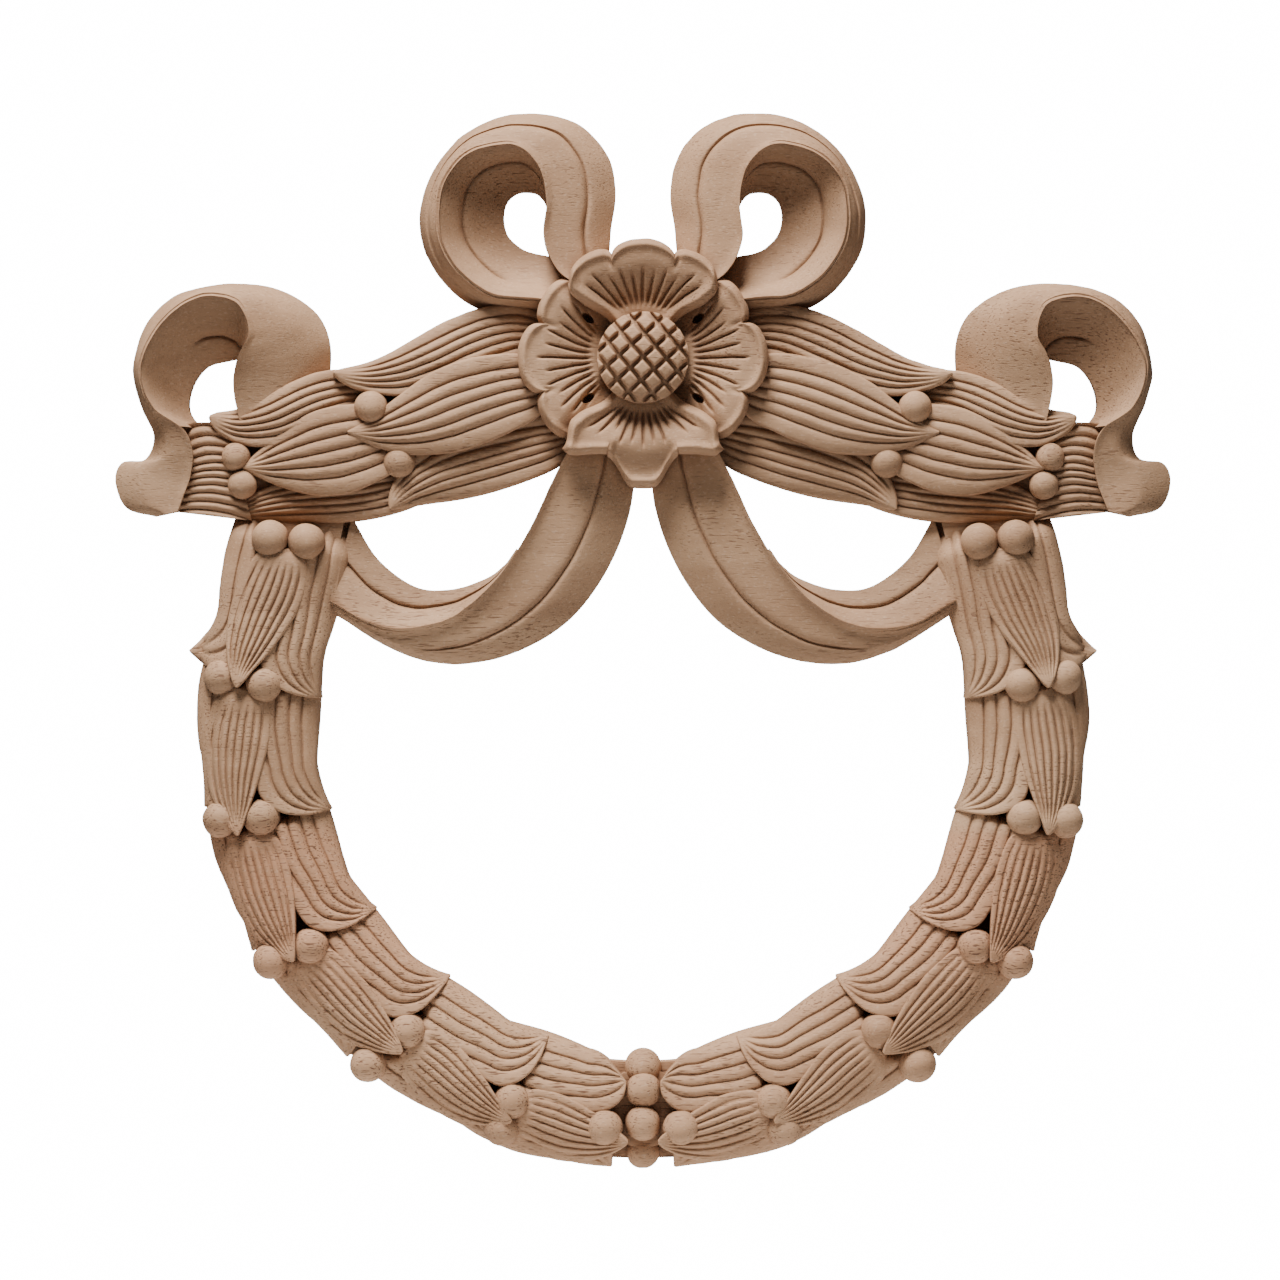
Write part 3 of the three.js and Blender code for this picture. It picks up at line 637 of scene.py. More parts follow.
CURL_CREST = Line(
    (-38, -6.4), (-38.7, -2.5), (-38.1, 0.3), (-37.2, 2), (-37.5, 4), (-38.7, 5.4), (-41.5, 5.8),
    (-44.2, 4.4), (-46.4, 1.8), (-47.4, -1.2), (-46.3, -4.5), (-43.5, -6.6), (-42.6, -8.8),
    (-42.7, -10.5), (-43, -11.8), (-43.5, -13.1), (-44, -14.4),
)
CURL_HOLE = Line(
    (-38.3, 0.1), (-39.3, -0.1), (-41.2, -0.6), (-42.4, -1.9), (-43, -3.5), (-43, -4.9), (-42.3, -6),
    (-41.2, -6.7),
)
CURL_TURN = 1.95
CURL_END = 10.9
TAIL_OUTER = Line(
    (-1.2, -8.6), (-0.9, -12.4), (-2, -16.9), (-4.2, -21.3), (-7.2, -24.9), (-11.2, -27.4), (-15.4, -28.7),
    (-19.6, -28.8), (-23.8, -27.5), (-29.2, -24.2),
)
TAIL_CREST = Line(
    (-6.2, -7.2), (-8.6, -11.7), (-10.2, -15.2), (-11.8, -18), (-13.8, -20.8), (-16.1, -23.1), (-18.9, -24.8),
    (-22.6, -25.5), (-25.8, -24.9), (-29.6, -22.8),
)
TAIL_UPPER = Line(
    (-12, -17.9), (-13.2, -19.5), (-15.2, -20.9), (-18.4, -21.8), (-21.7, -21.5), (-25.2, -18.9),
    (-27.6, -15),
)
TAIL_TURN = 3.05

# Rises of the ribbons where they run in under something or end
LOOP_START_RISE = 12
CURL_START_RISE = 6
CURL_START_DIP = 5
CURL_END_RISE = 11
TAIL_START_RISE = 9
TAIL_END_RISE = 12


def carve_ribbons():
    def level(rise):
        return lambda u: rise

    def curl_crest_rise(u):
        return lerp(LOOP_RISE - 2, CURL_END_RISE, smoothstep(u, 0.5, 0.9))

    def tail_crest_rise(u):
        return lerp(RIBBON_RISE, TAIL_END_RISE, u)

    def whole(line):
        return line.stretch(0, line.spans)

    ribbon_face("loop_outer", whole(LOOP_OUTER), whole(LOOP_CREST),
                lambda u: lerp(LOOP_START_RISE, EDGE + 2, smoothstep(u, 0, 0.4)), level(LOOP_RISE - 1),
                swell=2.5, line=0.4, rim=0.7, steps=112, columns=48)
    ribbon_face("loop_inner", LOOP_CREST.stretch(LOOP_TURN, LOOP_CREST.spans), whole(LOOP_HOLE),
                level(LOOP_RISE - 1), level(EDGE), swell=-2.5, line=0.35, ends=(0.75, 0.9),
                tuck=TUCK, steps=91, columns=32)
    ribbon_face("curl_outer", whole(CURL_OUTER), whole(CURL_CREST),
                lambda u: lerp(CURL_START_RISE, EDGE + 2, smoothstep(u, 0, 0.08)),
                lambda u: curl_crest_rise(u) - CURL_START_DIP * (1 - smoothstep(u, 0, 0.14)),
                swell=2.5, line=0.4, ends=NO_LINE, rim=0.5, steps=128, columns=36)
    ribbon_face("curl_inner", CURL_CREST.stretch(CURL_TURN, CURL_END), whole(CURL_HOLE),
                lambda u: curl_crest_rise(lerp(CURL_TURN, CURL_END, u) / CURL_CREST.spans), level(EDGE),
                swell=-2.5, line=0.5, ends=(0.4, 0.55), tuck=TUCK, steps=77, columns=32)
    ribbon_face("tail_outer", whole(TAIL_OUTER), whole(TAIL_CREST),
                lambda u: lerp(TAIL_START_RISE, EDGE, u), tail_crest_rise,
                swell=2, line=0.42, ends=(0.7, 0.85), rim=1, steps=96, columns=48)
    ribbon_face("tail_inner", TAIL_CREST.stretch(TAIL_TURN, TAIL_CREST.spans), whole(TAIL_UPPER),
                lambda u: tail_crest_rise(lerp(TAIL_TURN / TAIL_CREST.spans, 1, u)), level(EDGE + 1),
                swell=-0.6, line=0.5, tuck=TUCK, steps=61, columns=32)


# The flower

LOBE_NOTCH = 9.9
LOBE_TURN = 33
LOBE_SPREAD = 14.5
SIDE_PETAL_REACH = 11.8
UPPER_PETAL_REACH = 11.2
SIDE_LOBE_REACH = 11.1
LOWER_EDGE = 9.2
LOWER_CORNER = 11.5
LOWER_LOBE = 12.2
LOWER_LOBE_TURN = 21
LOWER_LOBE_DROP = 4
FOOT_NARROWING = 0.14
CORNER_NARROWING = 0.15
PETAL_SPREAD = 49
VEIN_STEP = 5.6
SEED_HEAD_RADIUS = 4.3
SEED_HEAD_DOME = 7
DIAMOND_ROWS = 6
DIAMOND_PITCH = 1.57
GROOVE_SHARE = 0.2
PILLOW_SHARE = 0.34
DIAMOND_TURN = 41
DIAMOND_STEPS = 144

# The eyes: how far out they lie, how high, their half length, depth and half width in millimetres,
# and their headings
EYE_PLACE = 6.4
EYE_RISE = 16
EYE_SIZE = (2.1, 6, 1.1)
EYE_HEADINGS = (36, 144, 216, 324)

# A petal's face, in millimetres and hundredths: how far it dishes and between which radii, the bead
# and the rounding of its rim, its notches, the rolled sides of a petal that lies over and the sunk
# sides of one that lies under, and its veins
PETAL_GRID = (230, 44)
PETAL_FOOT = 3
DISH = 5
DISH_REACH = (4.3, 9.6)
LOBE_DROP_REACH = (7.5, 11)
LOBE_DROP_SIDES = (16, 20)
RIM_BEAD = 0.9
RIM_BEAD_IN = 1.7
RIM_BEAD_WIDTH = 1.1
RIM_ROUND = 2.2
NOTCH_DEPTH = 0.9
NOTCH_WIDTH = 0.9
NOTCH_OFF = 3
NOTCH_REACH = (8.2, 9.9)
SIDE_BEAD = 1.3
SIDE_BEAD_IN = 2
SIDE_BEAD_WIDTH = 1.5
SIDE_ROUND = 2
SIDE_SINK = 2.6
SIDE_SINK_REACH = (1.5, 8)
VEIN_START = (4.7, 5.5)
VEIN_FLARE = 0.1
VEIN_FLARE_START = 4.8
VEIN_LAST = 11.1
VEIN_FADE = 0.9
VEIN_WIDTHS = (0.46, 0.28)
VEIN_WIDTH_REACH = (5, 9)


def lobed(angle, middle_reach, side_reach):
    """How far a petal reaches at an angle off its heading: a middle lobe and two side lobes."""
    side = (LOBE_SPREAD, side_reach)
    lobes = {LOBE_TURN: side, 0: (LOBE_TURN - LOBE_SPREAD + 0.5, middle_reach), -LOBE_TURN: side}
    reach = LOBE_NOTCH
    for middle, (spread, top) in lobes.items():
        off = min(abs(angle - middle) / spread, 1)
        reach = max(reach, lerp(LOBE_NOTCH, top, (1 - off ** 2.3) ** (1 / 2.3)))
    return reach


def straight(angle):
    """The lower petal ends in a straight edge between its two corners, with a longer lobe in its
    middle."""
    off = abs(angle)
    if off < LOWER_LOBE_TURN:
        return lerp(LOWER_LOBE, LOBE_NOTCH, smoothstep(off, 5, LOWER_LOBE_TURN))
    return min(LOWER_EDGE / math.cos(math.radians(angle * (1 - CORNER_NARROWING))), LOWER_CORNER)


def narrowed(radius):
    """How much a lifted petal narrows: at its foot beside the eyes, and again at its corners."""
    foot = FOOT_NARROWING * (1 - smoothstep(radius, 4.8, 8))
    return 1 - foot - CORNER_NARROWING * smoothstep(radius, 8.8, 11.2)


def petal(name, heading, lift, reach_at, lobe_drop=0):
    """A petal is a fan about its own heading. A lifted petal has rolled sides and lies over the two
    beside it. A long middle lobe falls away towards its end."""
    carving = settings()
    over = lift > 0
    spread = PETAL_SPREAD if over else PETAL_SPREAD + 2
    middle_margin, side_margin = (2.4, 1.7) if over else (0.9, 1.9)

    def face(u, v):
        v = lerp(v, math.sin(math.pi / 2 * v), 0.6)
        angle = lerp(-spread, spread, u)
        reach = reach_at(angle)
        radius = lerp(PETAL_FOOT, reach, v)
        pinch = narrowed(radius) if over else 1
        angle *= pinch
        rise = lift + lerp(PETAL_RISE - DISH, PETAL_RISE, smoothstep(radius, *DISH_REACH))
        drop_side = 1 - smoothstep(abs(angle), *LOBE_DROP_SIDES)
        rise -= lobe_drop * smoothstep(radius, *LOBE_DROP_REACH) * drop_side

        rim_off = in_mm(reach - radius)
        rise += RIM_BEAD * cut(rim_off - RIM_BEAD_IN, RIM_BEAD_WIDTH) - rounded_edge(rim_off, RIM_ROUND)
        notch_off = arc_mm(abs(abs(angle) - LOBE_TURN / 2 - NOTCH_OFF), radius)
        rise -= NOTCH_DEPTH * cut(notch_off, NOTCH_WIDTH) * smoothstep(radius, *NOTCH_REACH)
        side_off = arc_mm(spread * pinch - abs(angle), radius)
        if over:
            bead = SIDE_BEAD * cut(side_off - SIDE_BEAD_IN, SIDE_BEAD_WIDTH)
            rise += bead - rounded_edge(side_off, SIDE_ROUND)
        else:
            rise -= SIDE_SINK * (1 - smoothstep(side_off, *SIDE_SINK_REACH))

        veined = smoothstep(side_off, 2.5, 5) if over else smoothstep(side_off, 3, 6)
        fan = angle / (1 + VEIN_FLARE * (radius - VEIN_FLARE_START)) / VEIN_STEP
        off = arc_mm(abs(fan - round(fan)) * VEIN_STEP, radius)
        margin = lerp(middle_margin, side_margin, clamp(abs(angle) / 30)) + 0.5 * (round(fan) % 2)
        end = min(reach, VEIN_LAST) - margin
        depth = carving.vein_depth * MM_PER_M * finger(radius, VEIN_START, (end - VEIN_FADE, end)) * veined
        rise -= depth * cut(off, lerp(*VEIN_WIDTHS, smoothstep(radius, *VEIN_WIDTH_REACH)))
        return radius * unit_turned(heading + angle), rise

    return slab(name, face, *PETAL_GRID)


def seed_head():
    """A round dome cut into pillows by two sets of grooves."""
    carving = settings()
    half = (DIAMOND_ROWS / 2) * DIAMOND_PITCH
    turned = unit_turned(DIAMOND_TURN)

    def face(u, v):
        spot = complex(lerp(-half, half, u), lerp(-half, half, v))
        share = min(abs(spot) / SEED_HEAD_RADIUS, 1)
        dome = SEED_HEAD_DOME * (math.sqrt(1.25 - share * share) / math.sqrt(1.25) - 1)
        off = [1 - abs(2 * (place / DIAMOND_PITCH % 1) - 1) for place in (spot.real, spot.imag)]
        pillow = math.prod(rounded_start(max(share - GROOVE_SHARE, 0), PILLOW_SHARE) for share in off)
        rise = SEED_HEAD_RISE + dome - carving.diamond_depth * MM_PER_M * (1 - pillow)
        return spot * turned, rise

    head = slab("seed_head", face, DIAMOND_STEPS, DIAMOND_STEPS)
    rim = post("seed_head_rim", 0, radius=SEED_HEAD_RADIUS, rise=2 * SEED_HEAD_RISE, segments=96)
    return joined(head, [rim], "INTERSECT")


def eye(heading):
    """One of the drilled eyes where two petals meet."""
    shape = bmesh.new()
    bmesh.ops.create_uvsphere(shape, u_segments=20, v_segments=14, radius=1)
    spot = EYE_PLACE * UNIT * unit_turned(heading)
    place = Matrix.Translation((spot.real, -EYE_RISE * MM, spot.imag))
    size = Matrix.Diagonal((*[half * MM for half in EYE_SIZE], 1))
    shape.transform(place @ Matrix.Rotation(-math.radians(heading), 4, "Y") @ size)
    return blank(shape, "eye")


def carve_flower():
    first = petal("petal", 0, 0, lambda angle: lobed(angle, SIDE_PETAL_REACH, SIDE_LOBE_REACH))
    others = [
        petal("petal", 180, 0, lambda angle: lobed(angle, SIDE_PETAL_REACH, SIDE_LOBE_REACH)),
        petal("petal", 90, PETAL_LIFT, lambda angle: lobed(angle, UPPER_PETAL_REACH, SIDE_LOBE_REACH)),
        petal("petal", -90, PETAL_LIFT, straight, lobe_drop=LOWER_LOBE_DROP),
        post("flower_bed", 0, radius=9.4, rise=9, segments=64),
    ]
    flower = joined(first, others)
    flower = joined(flower, [eye(heading) for heading in EYE_HEADINGS], "DIFFERENCE")
    return joined(flower, [seed_head()])


# The foot of the garland: berries on a round bed where the two halves meet, each with its place,
# radius and rise
FOOT_BERRIES = (
    ((0, -67.1), 1.75, 15), ((0, -69.1), 1.7, 18), ((0, -72.2), 1.7, 19), ((0, -75.1), 1.6, 13),
    ((-3.6, -72.6), 1.7, 20.5), ((3.6, -72.6), 1.7, 20.5),
)


def carve_foot():
    berries = [ball("foot_berry", complex(*place), radius, rise) for place, radius, rise in FOOT_BERRIES]
    return [post("foot_bed", height=-70.8, radius=3.8, rise=12, segments=48), *berries]


# One piece of wood

def mirrored(piece):
    twin = bpy.data.objects.new(piece.name + "_mirrored", piece.data.copy())
    shape = bmesh.new()
    shape.from_mesh(twin.data)
    bmesh.ops.scale(shape, vec=(-1, 1, 1), verts=shape.verts[:])
    bmesh.ops.reverse_faces(shape, faces=shape.faces[:])
    shape.to_mesh(twin.data)
    shape.free()
    blanks().objects.link(twin)
    return twin


def sawn_flat(piece):
    """Cuts the back of all the carving flat in one cut."""
    shape = bmesh.new()
    size = Matrix.Diagonal((2 * FULL_WIDTH, SAWN_OFF * 4 * MM, 2 * FULL_WIDTH, 1))
    bmesh.ops.create_cube(shape, size=1, matrix=Matrix.Translation((0, SAWN_OFF * 2 * MM, 0)) @ size)
    return joined(piece, [blank(shape, "saw")], "DIFFERENCE")


# The lengths over which the hand-cut surface waves and ripples
WAVES = 9
RIPPLES = 3
RIPPLE_SHARE = 0.5
DEPTH_SHARE = 0.6
BACK_MARGIN = 0.5

# Fixed, because the noise is otherwise seeded by the clock and comes out different in each run
HAND_CUT_SEED = 1


def hand_cut(mesh):
    """Moves the surface a little, as a hand-held gouge does, and leaves the flat back as it is."""
    noise.seed_set(HAND_CUT_SEED)
    reach = settings().hand_cut
    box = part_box(NODE)
    for vert in mesh.vertices:
        if vert.co.y < -BACK_MARGIN * MM:
            offset = noise.noise_vector(vert.co / (WAVES * MM))
            offset += RIPPLE_SHARE * noise.noise_vector(vert.co / (RIPPLES * MM))
            vert.co += Vector((offset.x, DEPTH_SHARE * offset.y, offset.z)) * reach
        vert.co = [clamp(*spot) for spot in zip(vert.co, *box)]


# The rays that feel how hollow a place is, for the shade painted into the cuts: how many, how long, how steep
# the flattest is, and how far off the surface they start
HOLLOW_RAYS = 20
HOLLOW_REACH = 7
LOWEST_RAY = 0.15
OFF_SURFACE = 0.05


def mark_hollows_for_painted_shade(mesh):
    """Stores how hollow the surface is at each point, 0 in the open and 1 deep in a cut: the mask of the
    painted shade.
    """
    corners = [vert.co for vert in mesh.vertices]
    tree = BVHTree.FromPolygons(corners, [face.vertices[:] for face in mesh.polygons])
    golden = math.pi * (3 - math.sqrt(5))
    rays = []
    for i in range(HOLLOW_RAYS):
        height = lerp(LOWEST_RAY, 1, (i + 0.5) / HOLLOW_RAYS)
        flat = math.sqrt(1 - height * height)
        rays.append(Vector((flat * math.cos(golden * i), flat * math.sin(golden * i), height)))
    reach = HOLLOW_REACH * MM
    hollow = mesh.attributes.new("hollow", "FLOAT", "POINT")
    for vert in mesh.vertices:
        turn = vert.normal.to_track_quat("Z", "Y")
        start = vert.co + vert.normal * (OFF_SURFACE * MM)
        shut = 0.0
        for ray in rays:
            hit = tree.ray_cast(start, turn @ ray, reach)
            if hit[3] is not None:
                shut += 1 - hit[3] / reach
        hollow.data[vert.index].value = shut / HOLLOW_RAYS


TRIANGLES = 190000
CRISP_EDGE = math.radians(42)


def finish_wood(piece):
    """Thins the mesh where it is flat, then smooths its shading except at its crisp edges."""
    thin = piece.modifiers.new("thin", "DECIMATE")
    thin.ratio = min(1, TRIANGLES / sum(len(face.vertices) - 2 for face in piece.data.polygons))
    apply_modifiers(piece)
    piece.data.polygons.foreach_set("use_smooth", [True] * len(piece.data.polygons))
    piece.data.set_sharp_from_angle(angle=CRISP_EDGE)


# Materials

class Socket:
    """A node's output that takes part in sums, so that shader maths reads as plain Python."""

    def __init__(self, nodes, output):
        self.nodes = nodes
        self.output = output

    def _math(self, operation, first, second):
        return self.nodes.add("ShaderNodeMath", {"operation": operation}, {0: first, 1: second})[0]

    def __add__(self, other):
        return self._math("ADD", self, other)

    def __radd__(self, other):
        return self._math("ADD", other, self)

    def __sub__(self, other):
        return self._math("SUBTRACT", self, other)

    def __rsub__(self, other):
        return self._math("SUBTRACT", other, self)

    def __mul__(self, other):
        return self._math("MULTIPLY", self, other)

    def __rmul__(self, other):
        return self._math("MULTIPLY", other, self)


class Nodes:
    """Adds nodes to a material's tree."""

    def __init__(self, name):
        self.material = bpy.data.materials.new(name)
        self.material.use_nodes = True
        self.tree = self.material.node_tree
        self.tree.nodes.clear()

    def add(self, kind, given=None, inputs=None):
        """Adds a node of a type with its settings and the values or links of its sockets."""
        node = self.tree.nodes.new(kind)
        for name, value in (given or {}).items():
            setattr(node, name, value)
        for key, value in (inputs or {}).items():
            if isinstance(value, Socket):
                self.tree.links.new(value.output, node.inputs[key])
            else:
                node.inputs[key].default_value = value
        return [Socket(self, output) for output in node.outputs]

    def stretched_noise(self, place, scale, detail, roughness=0.5):
        """Noise on the object's own coordinates, stretched along the grain."""
        scaled = self.add("ShaderNodeMapping", {}, {"Vector": place, "Scale": scale})[0]
        values = {"Vector": scaled, "Scale": 1.0, "Detail": detail, "Roughness": roughness}
        return self.add("ShaderNodeTexNoise", {}, values)[0]

    def ramp(self, value, low, high):
        """0 below the low value, 1 above the high value, smooth in between."""
        values = {"Value": value, "From Min": low, "From Max": high}
        return self.add("ShaderNodeMapRange", {"interpolation_type": "SMOOTHSTEP"}, values)[0]

    def mix(self, share, first, second):
        """A mix of two colours."""
        first = first if isinstance(first, Socket) else (*first, 1)
        values = {0: share, 6: first, 7: (*second, 1)}
        return self.add("ShaderNodeMix", {"data_type": "RGBA"}, values)[2]


# Scales of the wood's patterns, along the grain and twice across it
FIGURE = (7, 60, 60)
STREAKS = (40, 500, 500)
SPECKLE = (900, 1800, 1800)
PORES = (230, 2300, 2300)
PORE_FIELD = (10, 40, 40)
BAND_WAVE = (12, 12, 60)

# Heights between which the wood's colour changes, and how far its bands wave up and down; the two upper
# ranges bound painted shade, darker towards the top and over the loops
WAVE_HEIGHT = 12 * MM
UPPER_PAINTED_SHADE = (-190 * MM, 30 * MM)
TOP_PAINTED_SHADE = (0, 30 * MM)
DARK_BAND_TOP = (-57 * MM, -61 * MM)
DARK_BAND_FOOT = (-74 * MM, -70 * MM)
PINK_TOP = (-131 * MM, -137 * MM)
PINK_FOOT = (-165 * MM, -185 * MM)

GRAIN_DEPTH = 0.4 * MM


def wood():
    """Bare open-pored hardwood: grain along X, pale and pink bands and short dark pores, with painted shade
    deep in the cuts and over the upper part."""
    colours = bpy.context.scene.onlay_wood
    nodes = Nodes("carved_wood")
    place = nodes.add("ShaderNodeTexCoord")[3]
    # How hollow each point is: the mask of the shade painted into the cuts
    hollow = nodes.add("ShaderNodeAttribute", {"attribute_name": "hollow"})[2]
    height = nodes.add("ShaderNodeSeparateXYZ", {}, {0: place})[2]

    figure = nodes.stretched_noise(place, FIGURE, 3)
    streaks = nodes.stretched_noise(place, STREAKS, 2)
    speckle = nodes.stretched_noise(place, SPECKLE, 1)
    wave = (nodes.stretched_noise(place, BAND_WAVE, 2) - 0.5) * WAVE_HEIGHT
    waved = height + wave

    pink = nodes.ramp(waved, *PINK_TOP) * (1 - 0.65 * nodes.ramp(waved + wave, *PINK_FOOT))
    dark_band = nodes.ramp(waved, *DARK_BAND_TOP) * nodes.ramp(waved, *DARK_BAND_FOOT)
    pore_field = nodes.ramp(nodes.stretched_noise(place, PORE_FIELD, 2), 0.42, 0.62)
    pores = nodes.ramp(nodes.stretched_noise(place, PORES, 1), 0.56, 0.7)
    pores = pores * (0.25 + 0.75 * pore_field + 0.5 * pink)

    # Each layer of colour with the share of the last one that it hides
    colour = nodes.mix(nodes.ramp(figure, 0.35, 0.7), colours.light, colours.middle)
    layers = (
        # Painted shade: the upper part darker towards the flower, and more over the loops, where the light
        # falls off
        (nodes.ramp(height + wave * 4, *UPPER_PAINTED_SHADE) * 0.45, colours.upper),
        (nodes.ramp(waved, *TOP_PAINTED_SHADE) * 0.3, colours.upper),
        (pink * 0.8, colours.pink),
        (dark_band * 0.5, colours.dark),
        (nodes.ramp(streaks, 0.45, 0.75) * 0.35, colours.dark),
        (nodes.ramp(speckle, 0.55, 0.75) * 0.18, colours.fibre),
        (pores * 0.85, colours.pore),
        # Painted shade: the wood darker deep in the cuts, where shade falls
        (nodes.ramp(hollow, 0.12, 0.65) * 0.5, colours.hollow),
    )
    for share, tint in layers:
        colour = nodes.mix(share, colour, tint)

    relief = streaks * 0.3 + speckle * 0.35 - pores * 0.9
    bump = {"Strength": 0.35, "Distance": GRAIN_DEPTH, "Height": relief}
    surface = nodes.add("ShaderNodeBsdfPrincipled", {}, {
        "Base Color": colour,
        "Roughness": 0.68 + 0.14 * speckle,
        "Normal": nodes.add("ShaderNodeBump", {}, bump)[0],
        "Specular IOR Level": 0.25,
    })[0]
    nodes.add("ShaderNodeOutputMaterial", {}, {0: surface})
    return nodes.material


def pale_floor():
    """A plain matt floor, a little cloudy."""
    nodes = Nodes("pale_floor")
    place = nodes.add("ShaderNodeTexCoord")[3]
    grain = nodes.stretched_noise(place, (60, 60, 60), 3)
    colour = nodes.mix(nodes.ramp(grain, 0.3, 0.7), (0.86, 0.86, 0.85), (0.9, 0.9, 0.89))
    surface = nodes.add("ShaderNodeBsdfPrincipled", {}, {"Base Color": colour, "Roughness": 0.8})[0]
    nodes.add("ShaderNodeOutputMaterial", {}, {0: surface})
    return nodes.material


# Settings a user would change

def length_property(name, description, default):
    return bpy.props.FloatProperty(name=name, description=description, default=default, unit="LENGTH")


def colour_property(name, description, default):
    return bpy.props.FloatVectorProperty(
        name=name, description=description, default=default, subtype="COLOR", size=3, min=0, max=1)


class OnlayCarving(bpy.types.PropertyGroup):
    """Depths and widths of the cuts"""
    groove_depth: length_property("Groove depth", "Depth of the lines in the leaves", 0.65e-3)
    groove_width: length_property("Groove width", "Half width of the lines in the leaves", 0.34e-3)
    hollow_depth: length_property("Hollow depth", "Depth of the hollow along each line", 0.48e-3)
    hollow_width: length_property("Hollow width", "Half width of the hollow along each line", 1.3e-3)
    edge_round: length_property("Edge rounding", "Radius worn on the edges of the leaves", 0.8e-3)
    vein_depth: length_property("Vein depth", "Depth of the veins in the petals", 1.1e-3)
    diamond_depth: length_property("Diamond depth", "Depth of the cuts in the seed head", 2e-3)
    ribbon_line_depth: length_property("Ribbon line depth", "Depth of the line along a ribbon", 1.5e-3)
    hand_cut: length_property("Hand cut", "How far the surface wanders from the drawing", 0.25e-3)


class OnlayWood(bpy.types.PropertyGroup):
    """Colours of the wood, and of the shade painted into its cuts and over its upper part"""
    light: colour_property("Light wood", "The palest wood between the growth lines", (0.5, 0.305, 0.175))
    middle: colour_property("Middle wood", "The wood along the growth lines", (0.345, 0.196, 0.107))
    dark: colour_property("Dark wood", "The darker streaks", (0.32, 0.18, 0.1))
    pink: colour_property("Pink wood", "The pinker board at the lower part", (0.45, 0.23, 0.125))
    # Painted shade: the darker colour over the upper part, where the light falls off, not a browner wood
    upper: colour_property("Upper wood", "The darker, browner wood towards the flower", (0.34, 0.19, 0.105))
    fibre: colour_property("Fibre", "Pale torn fibres left by sanding", (0.72, 0.53, 0.38))
    pore: colour_property("Pores", "The open pores", (0.17, 0.085, 0.045))
    # Painted shade: the colour painted deep in the cuts where shade falls, not a colour of the wood
    hollow: colour_property("Hollows", "The wood deep in the cuts", (0.11, 0.045, 0.02))


class OnlayStage(bpy.types.PropertyGroup):
    """The light and the camera"""
    sky: bpy.props.FloatProperty(
        name="Sky", description="Strength of the white surroundings", default=0.15)
    ground: bpy.props.FloatProperty(
        name="Ground", description="Brightness of the white ground seen", default=16)
    key: bpy.props.FloatProperty(
        name="Key", description="Power of the large light", default=52, unit="POWER")
    distance: length_property("Camera distance", "From the camera to the wall", 1.8)


# The stage

# The middle and the half width of what the camera frames, in hundredths of the width, and how far the
# carving's middle rise stands out towards it and the floor lies below it, in millimetres
CAMERA_MIDDLE = (-0.28, -26.6)
HALF_FRAME = 60.6
MIDDLE_RISE = 9
FLOOR_DROP = 90
SENSOR_WIDTH = 36

# The large light above the carving, on the left, in metres
KEY_PLACE = Vector((-0.25, -0.5, 1.15))
KEY_AIM = Vector((0, 0, -0.08))
KEY_SIZE = 0.55


def staged(name, data):
    thing = bpy.data.objects.new(name, data)
    bpy.context.scene.collection.objects.link(thing)
    return thing


def lay_floor():
    shape = bmesh.new()
    bmesh.ops.create_grid(shape, x_segments=1, y_segments=1, size=FULL_WIDTH)
    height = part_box(NODE)[0].z - FLOOR_DROP * MM
    bmesh.ops.translate(shape, vec=(0, 0, height), verts=shape.verts[:])
    mesh = bpy.data.meshes.new("floor")
    shape.to_mesh(mesh)
    shape.free()
    mesh.materials.append(pale_floor())
    staged("floor", mesh)


def white_surroundings(lighting, seen):
    """A white world, with one strength for the light that it gives and one for how it looks."""
    world = bpy.data.worlds.new("white_surroundings")
    world.use_nodes = True
    tree = world.node_tree
    light = tree.nodes["Background"]
    ground = tree.nodes.new("ShaderNodeBackground")
    for node, strength in ((light, lighting), (ground, seen)):
        node.inputs[0].default_value = (1, 1, 1, 1)
        node.inputs[1].default_value = strength
    mix = tree.nodes.new("ShaderNodeMixShader")
    path = tree.nodes.new("ShaderNodeLightPath")
    tree.links.new(path.outputs[0], mix.inputs[0])
    tree.links.new(light.outputs[0], mix.inputs[1])
    tree.links.new(ground.outputs[0], mix.inputs[2])
    tree.links.new(mix.outputs[0], tree.nodes["World Output"].inputs[0])
    return world


def hang_key(power):
    lamp = bpy.data.lights.new("key", "AREA")
    lamp.energy = power
    lamp.size = KEY_SIZE
    light = staged("key", lamp)
    light.location = KEY_PLACE
    light.rotation_euler = (KEY_AIM - KEY_PLACE).to_track_quat("-Z", "Y").to_euler()


def set_camera(distance):
    lens = bpy.data.cameras.new("camera")
    lens.sensor_width = SENSOR_WIDTH
    lens.lens = SENSOR_WIDTH / 2 * (distance - MIDDLE_RISE * MM) / (HALF_FRAME * UNIT)
    camera = staged("camera", lens)
    camera.location = (CAMERA_MIDDLE[0] * UNIT, -distance, CAMERA_MIDDLE[1] * UNIT)
    camera.rotation_euler = (math.pi / 2, 0, 0)
    return camera


# Operators

class ONLAY_OT_garland(bpy.types.Operator):
    """Carves the leaves and berries of half the garland"""
    bl_idname = "onlay.garland"
    bl_label = "Carve garland"

    def execute(self, context):
        carve_garland()
        return {"FINISHED"}


class ONLAY_OT_swag(bpy.types.Operator):
    """Carves one swag of leaves, its cuff and its berries"""
    bl_idname = "onlay.swag"
    bl_label = "Carve swag"

    def execute(self, context):
        carve_swag()
        return {"FINISHED"}


class ONLAY_OT_ribbons(bpy.types.Operator):
    """Carves the ribbons of one half: the loop, the curl and the tail"""
    bl_idname = "onlay.ribbons"
    bl_label = "Carve ribbons"

    def execute(self, context):
        carve_ribbons()
        return {"FINISHED"}


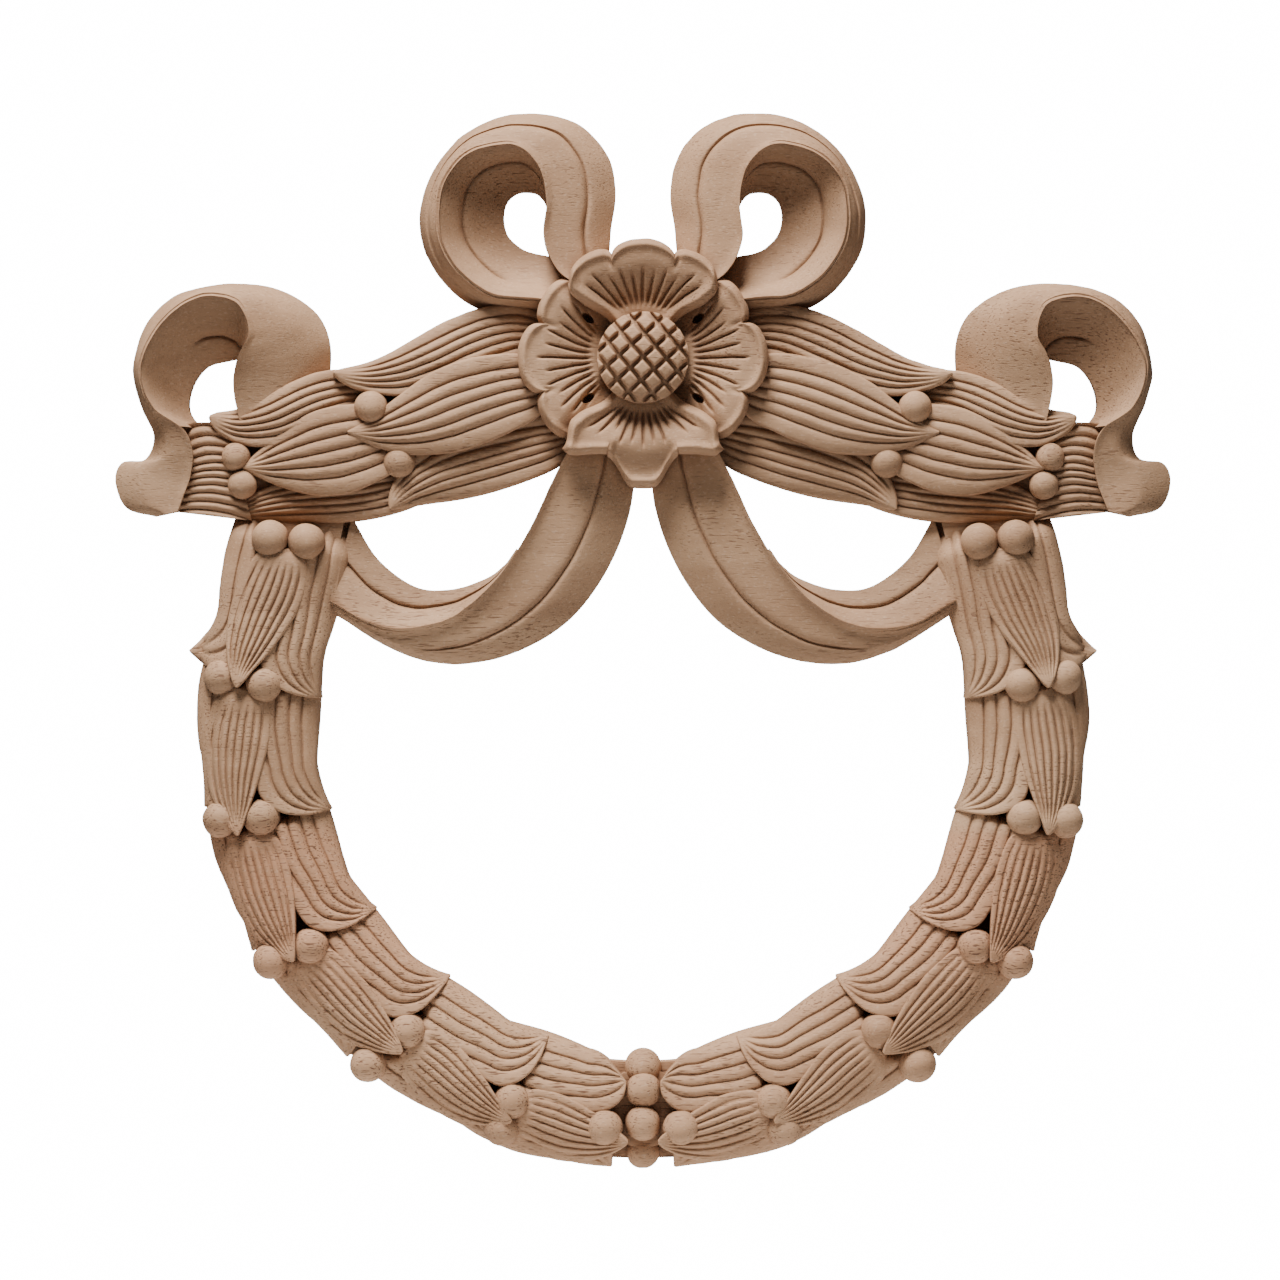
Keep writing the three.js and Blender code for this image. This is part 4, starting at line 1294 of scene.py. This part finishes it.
class ONLAY_OT_wood(bpy.types.Operator):
    """Joins both halves, the flower and the middle berries into one piece of wood"""
    bl_idname = "onlay.wood"
    bl_label = "Join the carving"

    def execute(self, context):
        first, *others = list(blanks().objects)
        half = joined(first, others)
        twin = mirrored(half)
        onlay = sawn_flat(joined(half, [twin, carve_flower(), *carve_foot()]))
        onlay.name = "carved_onlay_relief"
        finish_wood(onlay)
        hand_cut(onlay.data)
        # How hollow each point is, kept as the mask of the shade painted into the cuts
        mark_hollows_for_painted_shade(onlay.data)
        onlay.data.materials.clear()
        onlay.data.materials.append(wood())
        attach(onlay, BODY)
        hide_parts(NODE)
        return {"FINISHED"}


class ONLAY_OT_stage(bpy.types.Operator):
    """Sets the pale floor, the soft light and the camera"""
    bl_idname = "onlay.stage"
    bl_label = "Set the stage"

    def execute(self, context):
        stage = context.scene.onlay_stage
        lay_floor()
        context.scene.world = white_surroundings(stage.sky, stage.ground)
        hang_key(stage.key)
        context.scene.camera = set_camera(stage.distance)
        return {"FINISHED"}


class ONLAY_PT_panel(bpy.types.Panel):
    """Lists the steps of the carving"""
    bl_idname = "ONLAY_PT_panel"
    bl_label = "Carved onlay"
    bl_space_type = "VIEW_3D"
    bl_region_type = "UI"
    bl_category = "Onlay"

    def draw(self, context):
        for step in STEPS:
            self.layout.operator(step.bl_idname)
        for group in ("onlay_carving", "onlay_wood", "onlay_stage"):
            values = getattr(context.scene, group)
            for name in values.bl_rna.properties.keys():
                if name not in {"rna_type", "name"}:
                    self.layout.prop(values, name)


STEPS = (ONLAY_OT_garland, ONLAY_OT_swag, ONLAY_OT_ribbons, ONLAY_OT_wood, ONLAY_OT_stage)
GROUPS = {"onlay_carving": OnlayCarving, "onlay_wood": OnlayWood, "onlay_stage": OnlayStage}


def register():
    for kind in (*GROUPS.values(), *STEPS, ONLAY_PT_panel):
        bpy.utils.register_class(kind)
    for name, kind in GROUPS.items():
        setattr(bpy.types.Scene, name, bpy.props.PointerProperty(type=kind))


def unregister():
    for name in GROUPS:
        delattr(bpy.types.Scene, name)
    for kind in (ONLAY_PT_panel, *reversed(STEPS), *GROUPS.values()):
        bpy.utils.unregister_class(kind)


def main():
    register()
    bpy.ops.onlay.garland()
    bpy.ops.onlay.swag()
    bpy.ops.onlay.ribbons()
    bpy.ops.onlay.wood()
    bpy.ops.onlay.stage()


if __name__ == "__main__":
    main()
